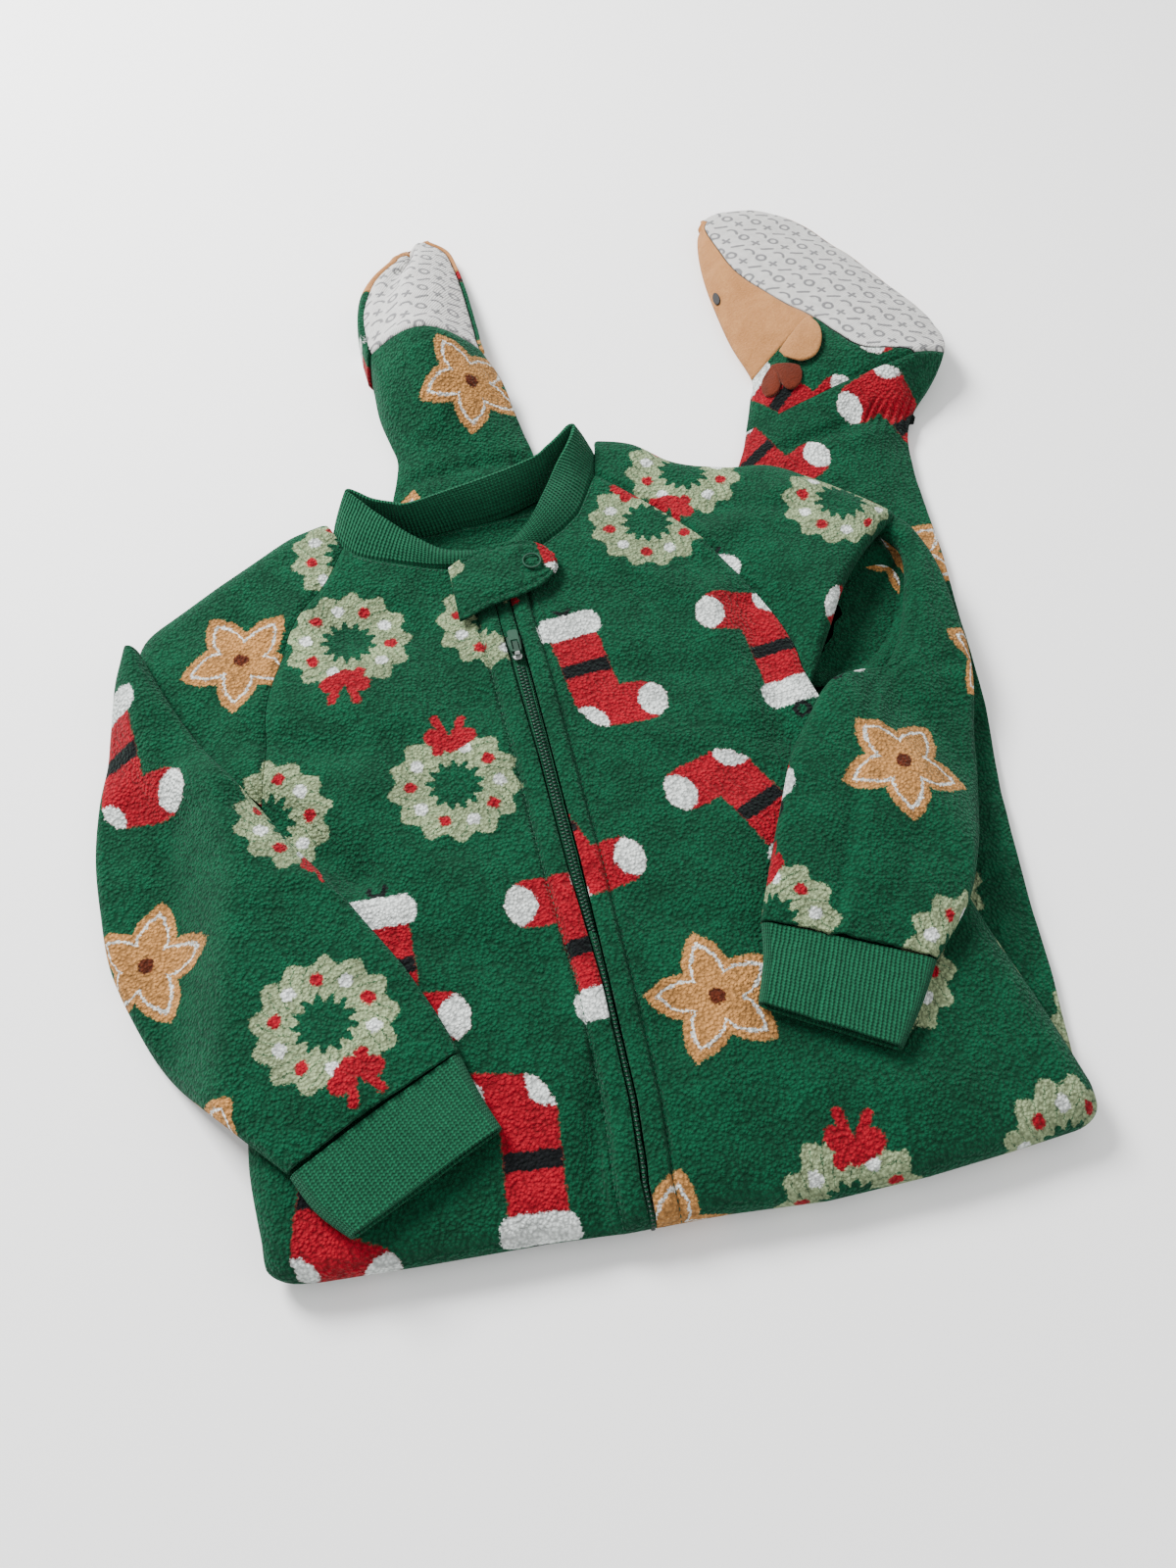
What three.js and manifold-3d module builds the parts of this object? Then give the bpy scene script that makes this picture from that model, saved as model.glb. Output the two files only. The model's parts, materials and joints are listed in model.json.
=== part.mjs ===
// A small child's footed zip pajama of fleece, folded in half and lying on a surface.
// Millimetres, +Z up. The neck points to +Y and the bottom fold to -Y. Left and right are the wearer's.
// Plan points are measured from a place near the middle of the chest; the last lines centre the whole.
import * as THREE from 'three';
import { mergeVertices } from 'three/addons/utils/BufferGeometryUtils.js';
import Module from 'manifold-3d';

const wasm = await Module();
wasm.setup();

// Driving sizes
const FLEECE = 2.6;          // wall of the brushed fleece
const RIB = 2.2;             // wall of the rib knit
const SEAM = 0.35;           // room between two pieces that are sewn together
const REST = 0.45;           // room under a piece that lies on another
const TOP = 22;              // height of the fronts over the surface
const RIM = 13;              // height at which the fronts' side edge ends
const EDGE = 13;             // how far in from the side the fronts start to turn down
const FOLD_DEPTH = 16;       // how far the bottom fold stands out from where it starts
const FOLD_MID = 11.2;       // height of the middle of the bottom fold
const SLEEVE_THICK = 9;      // a flattened sleeve, both walls and the air between
const CUFF_THICK = 7.8;
const LEG_THICK = 8.8;       // the left leg where the sleeve lies on it
const TO_RADIANS = Math.PI / 180;

// Small helpers
const mix = (a, b, t) => a + (b - a) * t;
const clamp = (t, low = 0, high = 1) => Math.min(high, Math.max(low, t));
const ease = (t) => clamp(t) ** 2 * (3 - 2 * clamp(t));
const point = (x, y, z) => new THREE.Vector3(x, y, z);

// A table: one line of column names, then a row for each section.
function table(columns, rows) {
  const names = columns.split(' ');
  return rows.map((row) => Object.fromEntries(names.map((name, i) => [name, row[i]])));
}

// The smooth curve through a table's rows, all columns together; s runs from 0 to 1.
function along(rows, s) {
  const place = clamp(s) * (rows.length - 1);
  const i = Math.min(Math.floor(place), rows.length - 2);
  const t = place - i;
  const row = (j) => rows[clamp(j, 0, rows.length - 1)];
  const result = {};
  for (const name of Object.keys(rows[0])) {
    const [a, b, c, d] = [row(i - 1)[name], row(i)[name], row(i + 1)[name], row(i + 2)[name]];
    result[name] = b + 0.5 * t * (c - a + t * (2 * a - 5 * b + 4 * c - d + t * (3 * (b - c) + d - a)));
  }
  return result;
}

// The value of one column at a place given by another column, by straight steps between rows.
function lookUp(rows, key, place, column) {
  const up = rows[0][key] < rows[rows.length - 1][key];
  let i = 0;
  while (i < rows.length - 2 && (up ? rows[i + 1][key] < place : rows[i + 1][key] > place)) i += 1;
  const t = clamp((place - rows[i][key]) / (rows[i + 1][key] - rows[i][key]));
  return mix(rows[i][column], rows[i + 1][column], t);
}

// A closed body from vertices and faces, turned so that its faces point out.
function body(vertices, faces) {
  let volume = 0;
  for (const [a, b, c] of faces) volume += vertices[a].dot(vertices[b].clone().cross(vertices[c]));
  const index = faces.flatMap(([a, b, c]) => (volume < 0 ? [a, c, b] : [a, b, c]));
  const geometry = new THREE.BufferGeometry();
  geometry.setAttribute('position', new THREE.Float32BufferAttribute(vertices.flatMap((v) => [v.x, v.y, v.z]), 3));
  geometry.setIndex(index);
  geometry.computeVertexNormals();
  return geometry;
}

// The direction square to a skin; step is the width over which it is taken across the skin.
const NEAR_CORNER = 0.03;
function normalOf(surface, s, t, step = 1e-3) {
  const down = surface(s + 1e-3, t).sub(surface(s - 1e-3, t));
  const across = surface(s, t + step).sub(surface(s, t - step));
  return down.cross(across).normalize();
}

// A wall of cloth: a grid of points on its outer skin, and the same points moved in by the wall.
// rows and columns are lists of parameters; loop joins the last column to the first. At a corner, a column
// where the skin turns sharply, the wall goes in halfway between the two sides, so that neighbours never cross.
function cloth({ surface, rows, columns, wall, loop = false, corners = [], flip = 1 }) {
  const outer = [];
  const inner = [];
  for (const s of rows) {
    for (const t of columns) {
      const corner = corners.find((c) => Math.abs(c - (t % 1)) < NEAR_CORNER);
      const here = surface(s, t);
      outer.push(here);
      const square = normalOf(surface, s, corner ?? t, corner ? NEAR_CORNER : 1e-3);
      inner.push(here.clone().addScaledVector(square, -flip * (wall.at ? wall.at(s, t) : wall)));
    }
  }
  const m = columns.length;
  const count = rows.length * m;
  const at = (i, j) => i * m + (j % m);
  const faces = [];
  const quad = (a, b, c, d) => faces.push([a, b, c], [a, c, d]);
  const lastRow = rows.length - 1;
  const lastColumn = loop ? m : m - 1;
  for (let i = 0; i < lastRow; i += 1) {
    for (let j = 0; j < lastColumn; j += 1) {
      quad(at(i, j), at(i + 1, j), at(i + 1, j + 1), at(i, j + 1));
      quad(count + at(i, j), count + at(i, j + 1), count + at(i + 1, j + 1), count + at(i + 1, j));
    }
  }
  for (let j = 0; j < lastColumn; j += 1) {
    quad(at(0, j), at(0, j + 1), count + at(0, j + 1), count + at(0, j));
    quad(at(lastRow, j), count + at(lastRow, j), count + at(lastRow, j + 1), at(lastRow, j + 1));
  }
  if (!loop) {
    for (let i = 0; i < lastRow; i += 1) {
      quad(at(i + 1, 0), at(i, 0), count + at(i, 0), count + at(i + 1, 0));
      quad(at(i + 1, m - 1), count + at(i + 1, m - 1), count + at(i, m - 1), at(i, m - 1));
    }
  }
  return body([...outer, ...inner], faces);
}

// A full body through sections that each lie in a plane across Y: points of [x, z], all in the same order.
function loft(sections) {
  const m = sections[0].points.length;
  const vertices = sections.flatMap(({ y, points }) => points.map(([x, z]) => point(x, y, z)));
  const faces = [];
  for (let i = 0; i < sections.length - 1; i += 1) {
    for (let j = 0; j < m; j += 1) {
      const k = (j + 1) % m;
      faces.push([i * m + j, (i + 1) * m + j, (i + 1) * m + k], [i * m + j, (i + 1) * m + k, i * m + k]);
    }
  }
  for (const i of [0, sections.length - 1]) {
    const outline = sections[i].points.map(([x, z]) => new THREE.Vector2(x, z));
    const asGiven = (i === 0) !== THREE.ShapeUtils.isClockWise(outline);
    for (const [a, b, c] of THREE.ShapeUtils.triangulateShape(outline, [])) {
      faces.push(asGiven ? [i * m + a, i * m + b, i * m + c] : [i * m + a, i * m + c, i * m + b]);
    }
  }
  return body(vertices, faces);
}

// Joins and cuts, through closed solids.
function toSolid(geometry) {
  const bare = geometry.index ? geometry.toNonIndexed() : geometry.clone();
  for (const name of Object.keys(bare.attributes)) if (name !== 'position') bare.deleteAttribute(name);
  const merged = mergeVertices(bare, 1e-4);
  return new wasm.Manifold(new wasm.Mesh({
    numProp: 3, vertProperties: merged.attributes.position.array, triVerts: new Uint32Array(merged.index.array),
  }));
}
function fromSolid(solid) {
  const { vertProperties, triVerts } = solid.getMesh();
  const geometry = new THREE.BufferGeometry();
  geometry.setAttribute('position', new THREE.Float32BufferAttribute(Array.from(vertProperties), 3));
  geometry.setIndex(Array.from(triVerts));
  geometry.computeVertexNormals();
  return geometry;
}

const range = (count, low = 0, high = 1) => Array.from({ length: count + 1 }, (_, k) => mix(low, high, k / count));

// The fronts and shoulders as one soft relief

// Creases and swells of the cloth: a soft trough (rise below 0) or ridge from one end to the other.
const FOLDS = table('x1 y1 x2 y2 width rise', [
  [-152, 24, -112, -22, 10, -4.2],
  [-96, 116, -52, 124, 20, -2.6],
  [-100, 22, -62, -44, 15, 2.4],
  [88, 92, 86, 22, 12, 2.6],
  [101, 82, 98, 4, 11, -2.6],
  [-46, -190, -30, -150, 8, -2.4],
  [18, -186, 12, -146, 11, 1.8],
  [60, -34, 22, -150, 18, 1.4],
  [-60, 104, -46, 58, 14, -1.8],
  [-120, 122, -86, 60, 18, 1.6],
  [-196, 40, -150, 100, 16, -1.4],
]);

function relief(x, y) {
  let rise = 0;
  for (const fold of FOLDS) {
    const [dx, dy] = [fold.x2 - fold.x1, fold.y2 - fold.y1];
    const t = clamp(((x - fold.x1) * dx + (y - fold.y1) * dy) / (dx * dx + dy * dy));
    const away = Math.hypot(x - fold.x1 - t * dx, y - fold.y1 - t * dy);
    rise += fold.rise * Math.exp(-((away / fold.width) ** 2));
  }
  return rise;
}

const SHOULDER_DROP = 5;     // the right shoulder lies lower than the chest
const topCloth = (x, y) => TOP + relief(x, y) - SHOULDER_DROP * ease((-x - 146) / 44) * ease((y - 20) / 40);

// Where the fronts turn under at the bottom: the outermost y of the fold for each x.
const FOLD_LINE = table('x y', [
  [-170, -186], [-150, -189], [-110, -192], [-60, -195], [-30, -198], [12, -200], [52, -204], [95, -204], [134, -202], [174, -199],
]);
const foldStart = (x) => lookUp(FOLD_LINE, 'x', x, 'y') + FOLD_DEPTH;

// The zip runs from neck to fold: its middle line, and half of the room between the two lips.
const ZIP_LINE = table('y x half', [
  [142, -18.5, 3.8], [100, -18, 3.8], [66, -17, 3.8], [20, -16, 3.2], [-40, -15.5, 3], [-66, -15, 2.2], [-96, -14.5, 1.4],
  [-150, -15.5, 1.4], [-176, -18, 1.4], [-200, -22, 1.4],
]);
const zipX = (y) => lookUp(ZIP_LINE, 'y', y, 'x');
const zipHalf = (y) => lookUp(ZIP_LINE, 'y', y, 'half');
const LIP_WIDTH = 8;         // the doubled strip of fleece beside the zip
const LIP_RISE = 1.1;

// Sections of the fronts from neck to fold. out is the sleeve seam, then the side; turn is 1 where that edge turns down.
const FRONT_RIGHT = table('outX outY inY turn', [
  [-92, 168, 140, 0], [-104, 147, 126, 0], [-119, 129, 112, 0], [-131, 106, 92, 0], [-141, 80, 70, 0], [-145, 50, 45, 0],
  [-150, 26, 20, 0.1], [-156, -6, -8, 0.9], [-160, -40, -40, 1], [-165, -76, -76, 1], [-170, -110, -112, 1], [-173, -140, -146, 1],
  [-171, -170, -181, 1],
]);
const FRONT_LEFT = table('outX outY inY turn', [
  [47, 188, 140, 0], [65, 169, 126, 0], [84, 144, 112, 0], [99, 115, 92, 0], [112, 84, 70, 0], [118, 58, 45, 0],
  [119, 34, 20, 0.1], [131, -2, -8, 0.9], [144, -38, -40, 1], [152, -72, -76, 1], [158, -108, -112, 1], [166, -144, -148, 1],
  [173, -183, -184, 1],
]);
// The neck edge, where the band is sewn on; it fades into straight rows over this share of the front.
const NECK_RIGHT = table('x y', [[-92, 168], [-86, 160.6], [-75, 154.4], [-58, 147.8], [-42, 142.8], [-20, 140]]);
const NECK_LEFT = table('x y', [[-14, 140.2], [2, 142.4], [12, 148.2], [22, 154], [32, 162.2], [39, 174], [47, 188]]);
const NECK_SHARE = 0.24;

// One front as a skin: s 0 to 1 from neck to the start of the fold, 1 to 1.5 round the fold; t 0 at the side, 1 at the zip.
function frontSkin(rows, neck, side) {
  return (s, t) => {
    const row = along(rows, s);
    const zip = zipX(row.inY) + side * (zipHalf(row.inY) + SEAM);
    const x = mix(row.outX, zip, t);
    const top = mix(rows[0].outY, 140, t);
    const y = mix(row.outY, row.inY, t) + (lookUp(neck, 'x', x, 'y') - top) * (1 - ease(s / NECK_SHARE));
    const length = Math.hypot(zip - row.outX, row.inY - row.outY);
    const turn = row.turn * (1 - Math.sqrt(1 - (1 - clamp((t * length) / EDGE)) ** 2));
    const lip = LIP_RISE * ease(1 - Math.abs(clamp(((1 - t) * length) / LIP_WIDTH, 0, 2) - 0.55) / 0.6);
    const z = mix(topCloth(x, y) + lip, RIM, turn);
    if (s <= 1) return point(x, y, z);
    const angle = (s - 1) * 300 * TO_RADIANS;
    const reach = (y - foldStart(x) + FOLD_DEPTH) * (1 - 0.5 * turn);
    return point(x, y - reach * Math.sin(angle), FOLD_MID + (z - FOLD_MID) * Math.cos(angle));
  };
}

// Columns are closer where the edge turns down and at the lip.
const FRONT_COLUMNS = [0, 0.014, 0.042, 0.09, 0.17, 0.27, 0.38, 0.5, 0.61, 0.72, 0.83, 0.92, 0.965, 1];
const FRONT_ROWS = [...range(19), 1.12, 1.24, 1.36, 1.48];

// Sleeves, upper arm: from the raglan seam out to the shoulder's edge

// Rows share the front's sleeve seam; outX and outY are on the shoulder's edge.
const SHOULDER_RIGHT = table('outX outY', [
  [-101, 193], [-121, 187], [-147, 171], [-174, 156], [-199, 139], [-203, 112], [-196, 88], [-186, 64],
]);
const SHOULDER_LEFT = table('outX outY', [
  [54, 217], [73, 210], [92, 192], [118, 182], [144, 176], [168, 154], [191, 128],
]);
const FLAP = { bow: 10, rise: 8, drop: 6.5, reach: 7 };   // the upper arm's doubled-under lower edge at the left elbow
const SHOULDER_EDGE = 15;

// The seam point of a front at row s, moved out by the seam's room.
function raglan(rows, s, side) {
  const seam = along(rows, s);
  return { x: seam.outX + side * SEAM, y: seam.outY + 0.3 };
}

const RAGLAN_ROWS = 6 / 12;  // the fronts' first six of twelve rows border the sleeve
function upperRightSkin(s, t) {
  const seam = raglan(FRONT_RIGHT, Math.min(s * 1.08, 1) * RAGLAN_ROWS, -1);
  const out = along(SHOULDER_RIGHT, s);
  const x = mix(seam.x, out.outX, t);
  const y = mix(seam.y, out.outY, t);
  const length = Math.hypot(out.outX - seam.x, out.outY - seam.y);
  const turn = 1 - Math.sqrt(1 - (1 - clamp(((1 - t) * length) / SHOULDER_EDGE)) ** 2);
  return point(x, y, mix(topCloth(x, y), 5, turn * (1 - 0.55 * ease((s - 0.5) / 0.2))));
}

function upperLeftSkin(s, t) {
  const row = Math.min(s, 1);
  const seam = raglan(FRONT_LEFT, row * RAGLAN_ROWS, 1);
  const out = along(SHOULDER_LEFT, row);
  const bow = FLAP.bow * ease((row - 0.5) / 0.5) * Math.sin(Math.PI * clamp(t));
  const x = mix(seam.x, out.outX, t) - 0.7 * bow;
  const y = mix(seam.y, out.outY, t) + 0.7 * bow;
  const length = Math.hypot(out.outX - seam.x, out.outY - seam.y);
  const turn = 1 - Math.sqrt(1 - (1 - clamp(((1 - t) * length) / SHOULDER_EDGE)) ** 2);
  const rise = FLAP.rise * ease((row - 0.45) / 0.55) * ease(t / 0.35);
  const z = mix(topCloth(x, y) + rise, 14, turn);
  if (s <= 1) return point(x, y, z);
  const angle = (s - 1) * 280 * TO_RADIANS;
  const drop = FLAP.drop * ease(0.25 + 3 * t) * (1 - 0.6 * turn);
  const reach = FLAP.reach * ease(0.3 + 2 * t) * Math.sin(angle);
  return point(x + 0.72 * reach, y - 0.69 * reach, z - drop * (1 - Math.cos(angle)));
}

// Sleeves, forearm: a flattened tube that lies on the fronts and hangs down beside them

const FOREARM_RIGHT = table('inX inY outX outY', [
  [-199, 122, -207, 126], [-193, 105, -214, 105], [-183, 80, -220, 78], [-169, 52, -227, 48], [-151, 23, -230, 20], [-139, 1, -229, -8],
  [-124, -24, -226, -36], [-111, -48, -217, -64], [-98, -72, -205, -90], [-88, -95, -187, -114], [-81, -115, -156, -149],
]);
const CUFF_RIGHT = table('inX inY outX outY', [[-81, -116, -155, -151], [-76, -134, -147, -166], [-70, -150, -135, -179]]);
const FOREARM_LEFT = table('inX inY outX outY', [
  [192, 101, 205, 101], [183, 74, 207, 86], [172, 51, 206, 64], [157, 33, 204, 42], [140, 31, 201, 26], [125, 26, 196, 8],
  [111, 11, 188, -14], [96, -8, 181, -36], [84, -31, 172, -57], [73, -53, 161, -78], [64, -72, 149, -98], [57, -87, 126, -121],
]);
const CUFF_LEFT = table('inX inY outX outY', [[57, -88, 125, -122], [53, -104, 113, -138], [45, -123, 98, -155]]);

// The height that a sleeve lies on: the fronts inside their edge, then a slope down to what is beside them.
const SIDE_RIGHT = table('y x', [
  [110, -196], [80, -190], [50, -176], [26, -160], [-6, -157], [-40, -160], [-76, -165], [-110, -170], [-146, -173],
]);
const SIDE_LEFT = table('y x', [[34, 121], [-2, 131], [-38, 144], [-72, 152], [-108, 158], [-144, 166]]);
function underRight(x, y) {
  const inside = ease((x - lookUp(SIDE_RIGHT, 'y', y, 'x') + 40) / 36);
  return mix(REST, topCloth(x, y) + REST, inside);
}
function underLeft(x, y) {
  const inside = ease((lookUp(SIDE_LEFT, 'y', y, 'x') + 38 - x) / 36);
  const beside = mix(LEG_THICK + REST, 13, ease((y + 5) / 30));
  return mix(beside, topCloth(x, y) + REST, inside);
}

// The skin of a flattened tube: t goes round, along the inner bend, the top, the outer bend and the underside.
const BEND_SHARE = 0.14;
function flatTube(rows, under, thick, puff) {
  return (s, t) => {
    const row = along(rows, s);
    const round = ((t % 1) + 1) % 1;
    const [dx, dy] = [row.outX - row.inX, row.outY - row.inY];
    const width = Math.hypot(dx, dy);
    const half = Math.min(thick / 2, width / 3);
    let across;
    let lift;
    if (round < BEND_SHARE || (round >= 0.5 && round < 0.5 + BEND_SHARE)) {
      const far = round >= 0.5;
      const angle = ((far ? round - 0.5 : round) / BEND_SHARE) * Math.PI;
      across = far ? width - half + half * Math.sin(angle) : half - half * Math.sin(angle);
      lift = far ? Math.cos(angle) : -Math.cos(angle);
    } else {
      const far = round > 0.5;
      const share = (round - BEND_SHARE - (far ? 0.5 : 0)) / (0.5 - BEND_SHARE);
      across = far ? mix(width - half, half, share) : mix(half, width - half, share);
      lift = far ? -1 : 1;
    }
    const x = row.inX + (dx * across) / width;
    const y = row.inY + (dy * across) / width;
    const crown = lift > 0 ? puff * Math.sin(Math.PI * clamp(across / width)) * lift : 0;
    return point(x, y, under(x, y) + (thick / 2) * (1 + lift) + crown);
  };
}
const bend = [0, 0.25, 0.5, 0.75, 1].map((k) => k * BEND_SHARE);
const flat = [0.14, 0.3, 0.5, 0.7, 0.86].map((k) => mix(BEND_SHARE, 0.5, k));
const TUBE_COLUMNS = [...bend, ...flat, ...bend.map((k) => k + 0.5), ...flat.map((k) => k + 0.5)];

// Neck band: a rib strip from the zip round the neck and back to the zip

// seam is the edge sewn to the body, edge the free one; the band leans in on the fronts and stands at the back.
const NECK_BAND = table('seamX seamY seamZ edgeX edgeY edgeZ', [
  [-22, 140.8, 22.6, -22, 148, 23.6], [-42, 143.6, 22.6, -40, 151, 25], [-58, 148.6, 22.8, -54, 160, 28],
  [-75, 155.4, 23, -65, 170, 31], [-86, 161.8, 23, -73, 178, 33.5], [-92, 171, 22.5, -79, 186, 35], [-94, 185, 20, -84, 191, 35.5],
  [-86, 188, 15, -82, 188, 33.5], [-70, 183, 13.6, -71, 184, 30.5], [-52, 178, 13.2, -55, 184, 28.6], [-30, 179.5, 13, -36, 188, 28],
  [-8, 181.5, 13, -10, 193, 28.2], [16, 189, 13.6, 14, 199, 30], [36, 203, 14.5, 30, 206, 33], [47.5, 210, 17, 39, 211, 35.8],
  [48, 202, 21, 34, 202, 36], [43, 185, 22.8, 27, 188, 34.5], [31, 163.4, 23, 18, 175, 32], [12, 149.4, 22.8, 7, 160, 29.5],
  [-5, 142.6, 22.6, -6, 150.5, 24.6], [-14, 141, 22.6, -14, 148.5, 23.7],
]);
function bandSkin(s, t) {
  const row = along(NECK_BAND, s);
  return point(mix(row.seamX, row.edgeX, t), mix(row.seamY, row.edgeY, t), mix(row.seamZ, row.edgeZ, t));
}

// Inside of the back, seen through the neck opening
const BACK_NECK = table('leftX leftY rightX rightY sag rise', [
  [-74, 139, 22, 137, 0, 9], [-80, 150, 26, 148, 1, 9], [-82, 161, 28, 161, 2, 9], [-76, 172, 26, 175, 3, 9.3],
  [-67, 181.5, 16, 187.5, 4.5, 9.8],
]);
function backSkin(s, t) {
  const row = along(BACK_NECK, s);
  return point(mix(row.leftX, row.rightX, t), mix(row.leftY, row.rightY, t) - row.sag * Math.sin(Math.PI * clamp(t)), row.rise);
}

// Legs and feet. Each foot lies sole up: low is its near side on the surface, ridge the sole's near edge, far its
// far edge, and hump how far the sole or the calf swells above the line between those two.
const LEG_LEFT = table('lowX lowY ridgeX ridgeY ridgeZ farX farY farZ hump', [
  [163, 389, 168, 391, 10.5, 183, 398.5, 9, 0.8], [159, 381, 163.5, 381, 12.5, 202, 396, 9, 1.4], [155, 363, 165, 359, 15.5, 223, 379, 10, 2.4],
  [152.5, 340, 168, 334, 19, 240, 349, 11, 3], [152, 314, 180, 305, 22.5, 254, 319, 12.5, 3.2], [153, 284, 188, 291, 24.5, 260, 303, 13.5, 3.2],
  [157, 254, 199, 275, 26.5, 268, 280, 15.5, 3], [152, 240, 207, 258, 28.5, 271, 262, 17.5, 2.6], [147, 227, 218, 242, 29.5, 271, 250, 19, 2],
  [142, 215, 245, 232, 28.5, 266, 236, 20.5, 1], [137, 203, 226, 219, 22, 255, 222, 14, 2], [131, 192, 208, 205, 16.5, 239, 206, 10, 2],
  [122, 176, 196, 184, 11.5, 230, 190, 7.5, 1.4], [114, 158, 186, 164, 9.4, 225, 168, 6.2, 0.8], [110, 136, 178, 140, 8.4, 222, 144, 6, 0.8],
  [106, 104, 170, 106, 8.4, 219, 108, 6, 0.8], [100, 60, 160, 60, 8.4, 212, 60, 6, 0.8], [98, 10, 156, 10, 8.4, 205, 10, 6, 0.8],
  [98, -40, 150, -40, 8.4, 194, -40, 6, 0.8], [98, -90, 146, -90, 8.4, 186, -90, 6, 0.8], [98, -130, 142, -130, 8.4, 181, -130, 6, 0.8],
  [98, -166, 140, -166, 8.4, 175, -168, 6, 0.8],
]);
const LEG_RIGHT = table('lowX lowY ridgeX ridgeY ridgeZ farX farY farZ hump', [
  [-36, 396, -31, 398, 9.5, -9, 413, 8, 4], [-48, 383, -44, 384, 11, 1, 401, 8.5, 8], [-56, 370, -51.5, 369, 13, 4, 381, 9.5, 13],
  [-60, 346, -58, 346, 15, 5, 356, 12, 17], [-61, 322, -59, 318, 18, 5, 322, 16, 19], [-60, 300, -57.5, 307, 22, 5, 299, 20, 19],
  [-60, 272, -53, 274, 18, 13, 276, 15, 16], [-57, 251, -46, 252, 15, 16, 252, 11, 9], [-55, 237, -40, 237, 12.5, 18, 237, 8.5, 5],
  [-58, 222, -38, 222, 11, 20, 222, 7.4, 3.4], [-63, 205, -34, 205, 9, 21, 205, 6.4, 2], [-64, 186, -30, 186, 6.8, 21, 186, 5.8, 0.8],
  [-62, 166, -28, 166, 6.3, 20, 166, 5.6, 0.5], [-62, 140, -28, 140, 6.3, 20, 140, 5.6, 0.5],
]);

// The skin of a leg: t 0 to 0.3 lies under, to 0.36 turns up at the near side, to RIDGE climbs to the sole's near
// edge, to FAR crosses the sole, then goes down again.
const RIDGE = 0.5;
const FAR = 0.86;
function legSkin(rows) {
  return (s, t) => {
    const row = along(rows, s);
    const round = ((t % 1) + 1) % 1;
    const low = point(row.lowX, row.lowY, Math.min(4.5, row.ridgeZ * 0.42));
    const ridge = point(row.ridgeX, row.ridgeY, row.ridgeZ);
    const far = point(row.farX, row.farY, row.farZ);
    const nearFoot = point(mix(row.lowX, row.farX, 0.03) + 1.2, mix(row.lowY, row.farY, 0.03), 0);
    const farFoot = point(mix(row.farX, row.lowX, 0.03) - 1, mix(row.farY, row.lowY, 0.03), 0);
    if (round < 0.3) return farFoot.lerp(nearFoot, round / 0.3);
    if (round < 0.36) return nearFoot.lerp(low, (round - 0.3) / 0.06);
    if (round < RIDGE) {
      const k = (round - 0.36) / (RIDGE - 0.36);
      const bulge = 0.16 * (row.ridgeZ - 4) * Math.sin(Math.PI * k);
      return low.lerp(ridge, k).add(point(0, 0, bulge));
    }
    if (round < FAR) {
      const k = (round - RIDGE) / (FAR - RIDGE);
      return ridge.lerp(far, k).add(point(0, 0, row.hump * Math.sin(Math.PI * k)));
    }
    return far.lerp(farFoot, (round - FAR) / (1 - FAR));
  };
}
const LEG_COLUMNS = [0, 0.15, 0.3, 0.33, 0.36, 0.41, 0.455, RIDGE, 0.545, 0.61, 0.68, 0.75, 0.81, FAR, 0.91, 0.955];
const UPPER_COLUMNS = [FAR + 0.012, 0.93, 1, 1.15, 1.3, 1.33, 1.36, 1.41, 1.455, 1.492];
const SOLE_COLUMNS = [0.508, 0.545, 0.61, 0.68, 0.75, 0.81, FAR - 0.012];
const LEG_CORNERS = [RIDGE, FAR];
// The wall's share of the full fleece round a leg: pressed thinner at the two bends, where it lies double.
const LEG_WALL = table('t share', [[0, 0.62], [0.15, 1], [0.3, 0.45], [0.36, 0.5], [0.41, 0.9], [0.455, 1], [0.75, 1], [FAR, 0.7], [1, 0.62]]);
const LEG_SHARE = 0.85;      // a leg's wall is pressed a little more than the foot's

const fleeceGreen = new THREE.MeshStandardMaterial({ color: 0x106846, roughness: 0.95, metalness: 0 });
const ribGreen = new THREE.MeshStandardMaterial({ color: 0x14704a, roughness: 0.9, metalness: 0 });
const soleWhite = new THREE.MeshStandardMaterial({ color: 0xe2e2e0, roughness: 0.8, metalness: 0 });
const plushTan = new THREE.MeshStandardMaterial({ color: 0xd6a87a, roughness: 0.95, metalness: 0 });
const feltBrown = new THREE.MeshStandardMaterial({ color: 0x8c4123, roughness: 0.95, metalness: 0 });
const stitchBlack = new THREE.MeshStandardMaterial({ color: 0x141419, roughness: 0.7, metalness: 0 });
const zipGreen = new THREE.MeshStandardMaterial({ color: 0x0f5a3c, roughness: 0.5, metalness: 0 });
const tabPlastic = new THREE.MeshStandardMaterial({ color: 0x1b7a52, roughness: 0.4, metalness: 0 });

const garment = new THREE.Group();
function add(name, geometry, material) {
  const mesh = new THREE.Mesh(geometry, material);
  mesh.name = name;
  garment.add(mesh);
}

// Fronts, sleeves, cuffs
add('front_right', cloth({
  surface: frontSkin(FRONT_RIGHT, NECK_RIGHT, -1), rows: FRONT_ROWS, columns: FRONT_COLUMNS, wall: FLEECE, flip: 1,
}), fleeceGreen);
add('front_left', cloth({
  surface: frontSkin(FRONT_LEFT, NECK_LEFT, 1), rows: FRONT_ROWS, columns: FRONT_COLUMNS, wall: FLEECE, flip: -1,
}), fleeceGreen);
const UPPER_COLUMNS_ACROSS = [0, 0.1, 0.24, 0.4, 0.56, 0.7, 0.82, 0.91, 0.965, 1];
add('sleeve_right_upper', cloth({
  surface: upperRightSkin, rows: range(10), columns: UPPER_COLUMNS_ACROSS, wall: FLEECE, flip: -1,
}), fleeceGreen);
add('sleeve_left_upper', cloth({
  surface: upperLeftSkin, rows: [...range(11), 1.14, 1.28, 1.42], columns: UPPER_COLUMNS_ACROSS, wall: FLEECE, flip: 1,
}), fleeceGreen);
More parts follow.
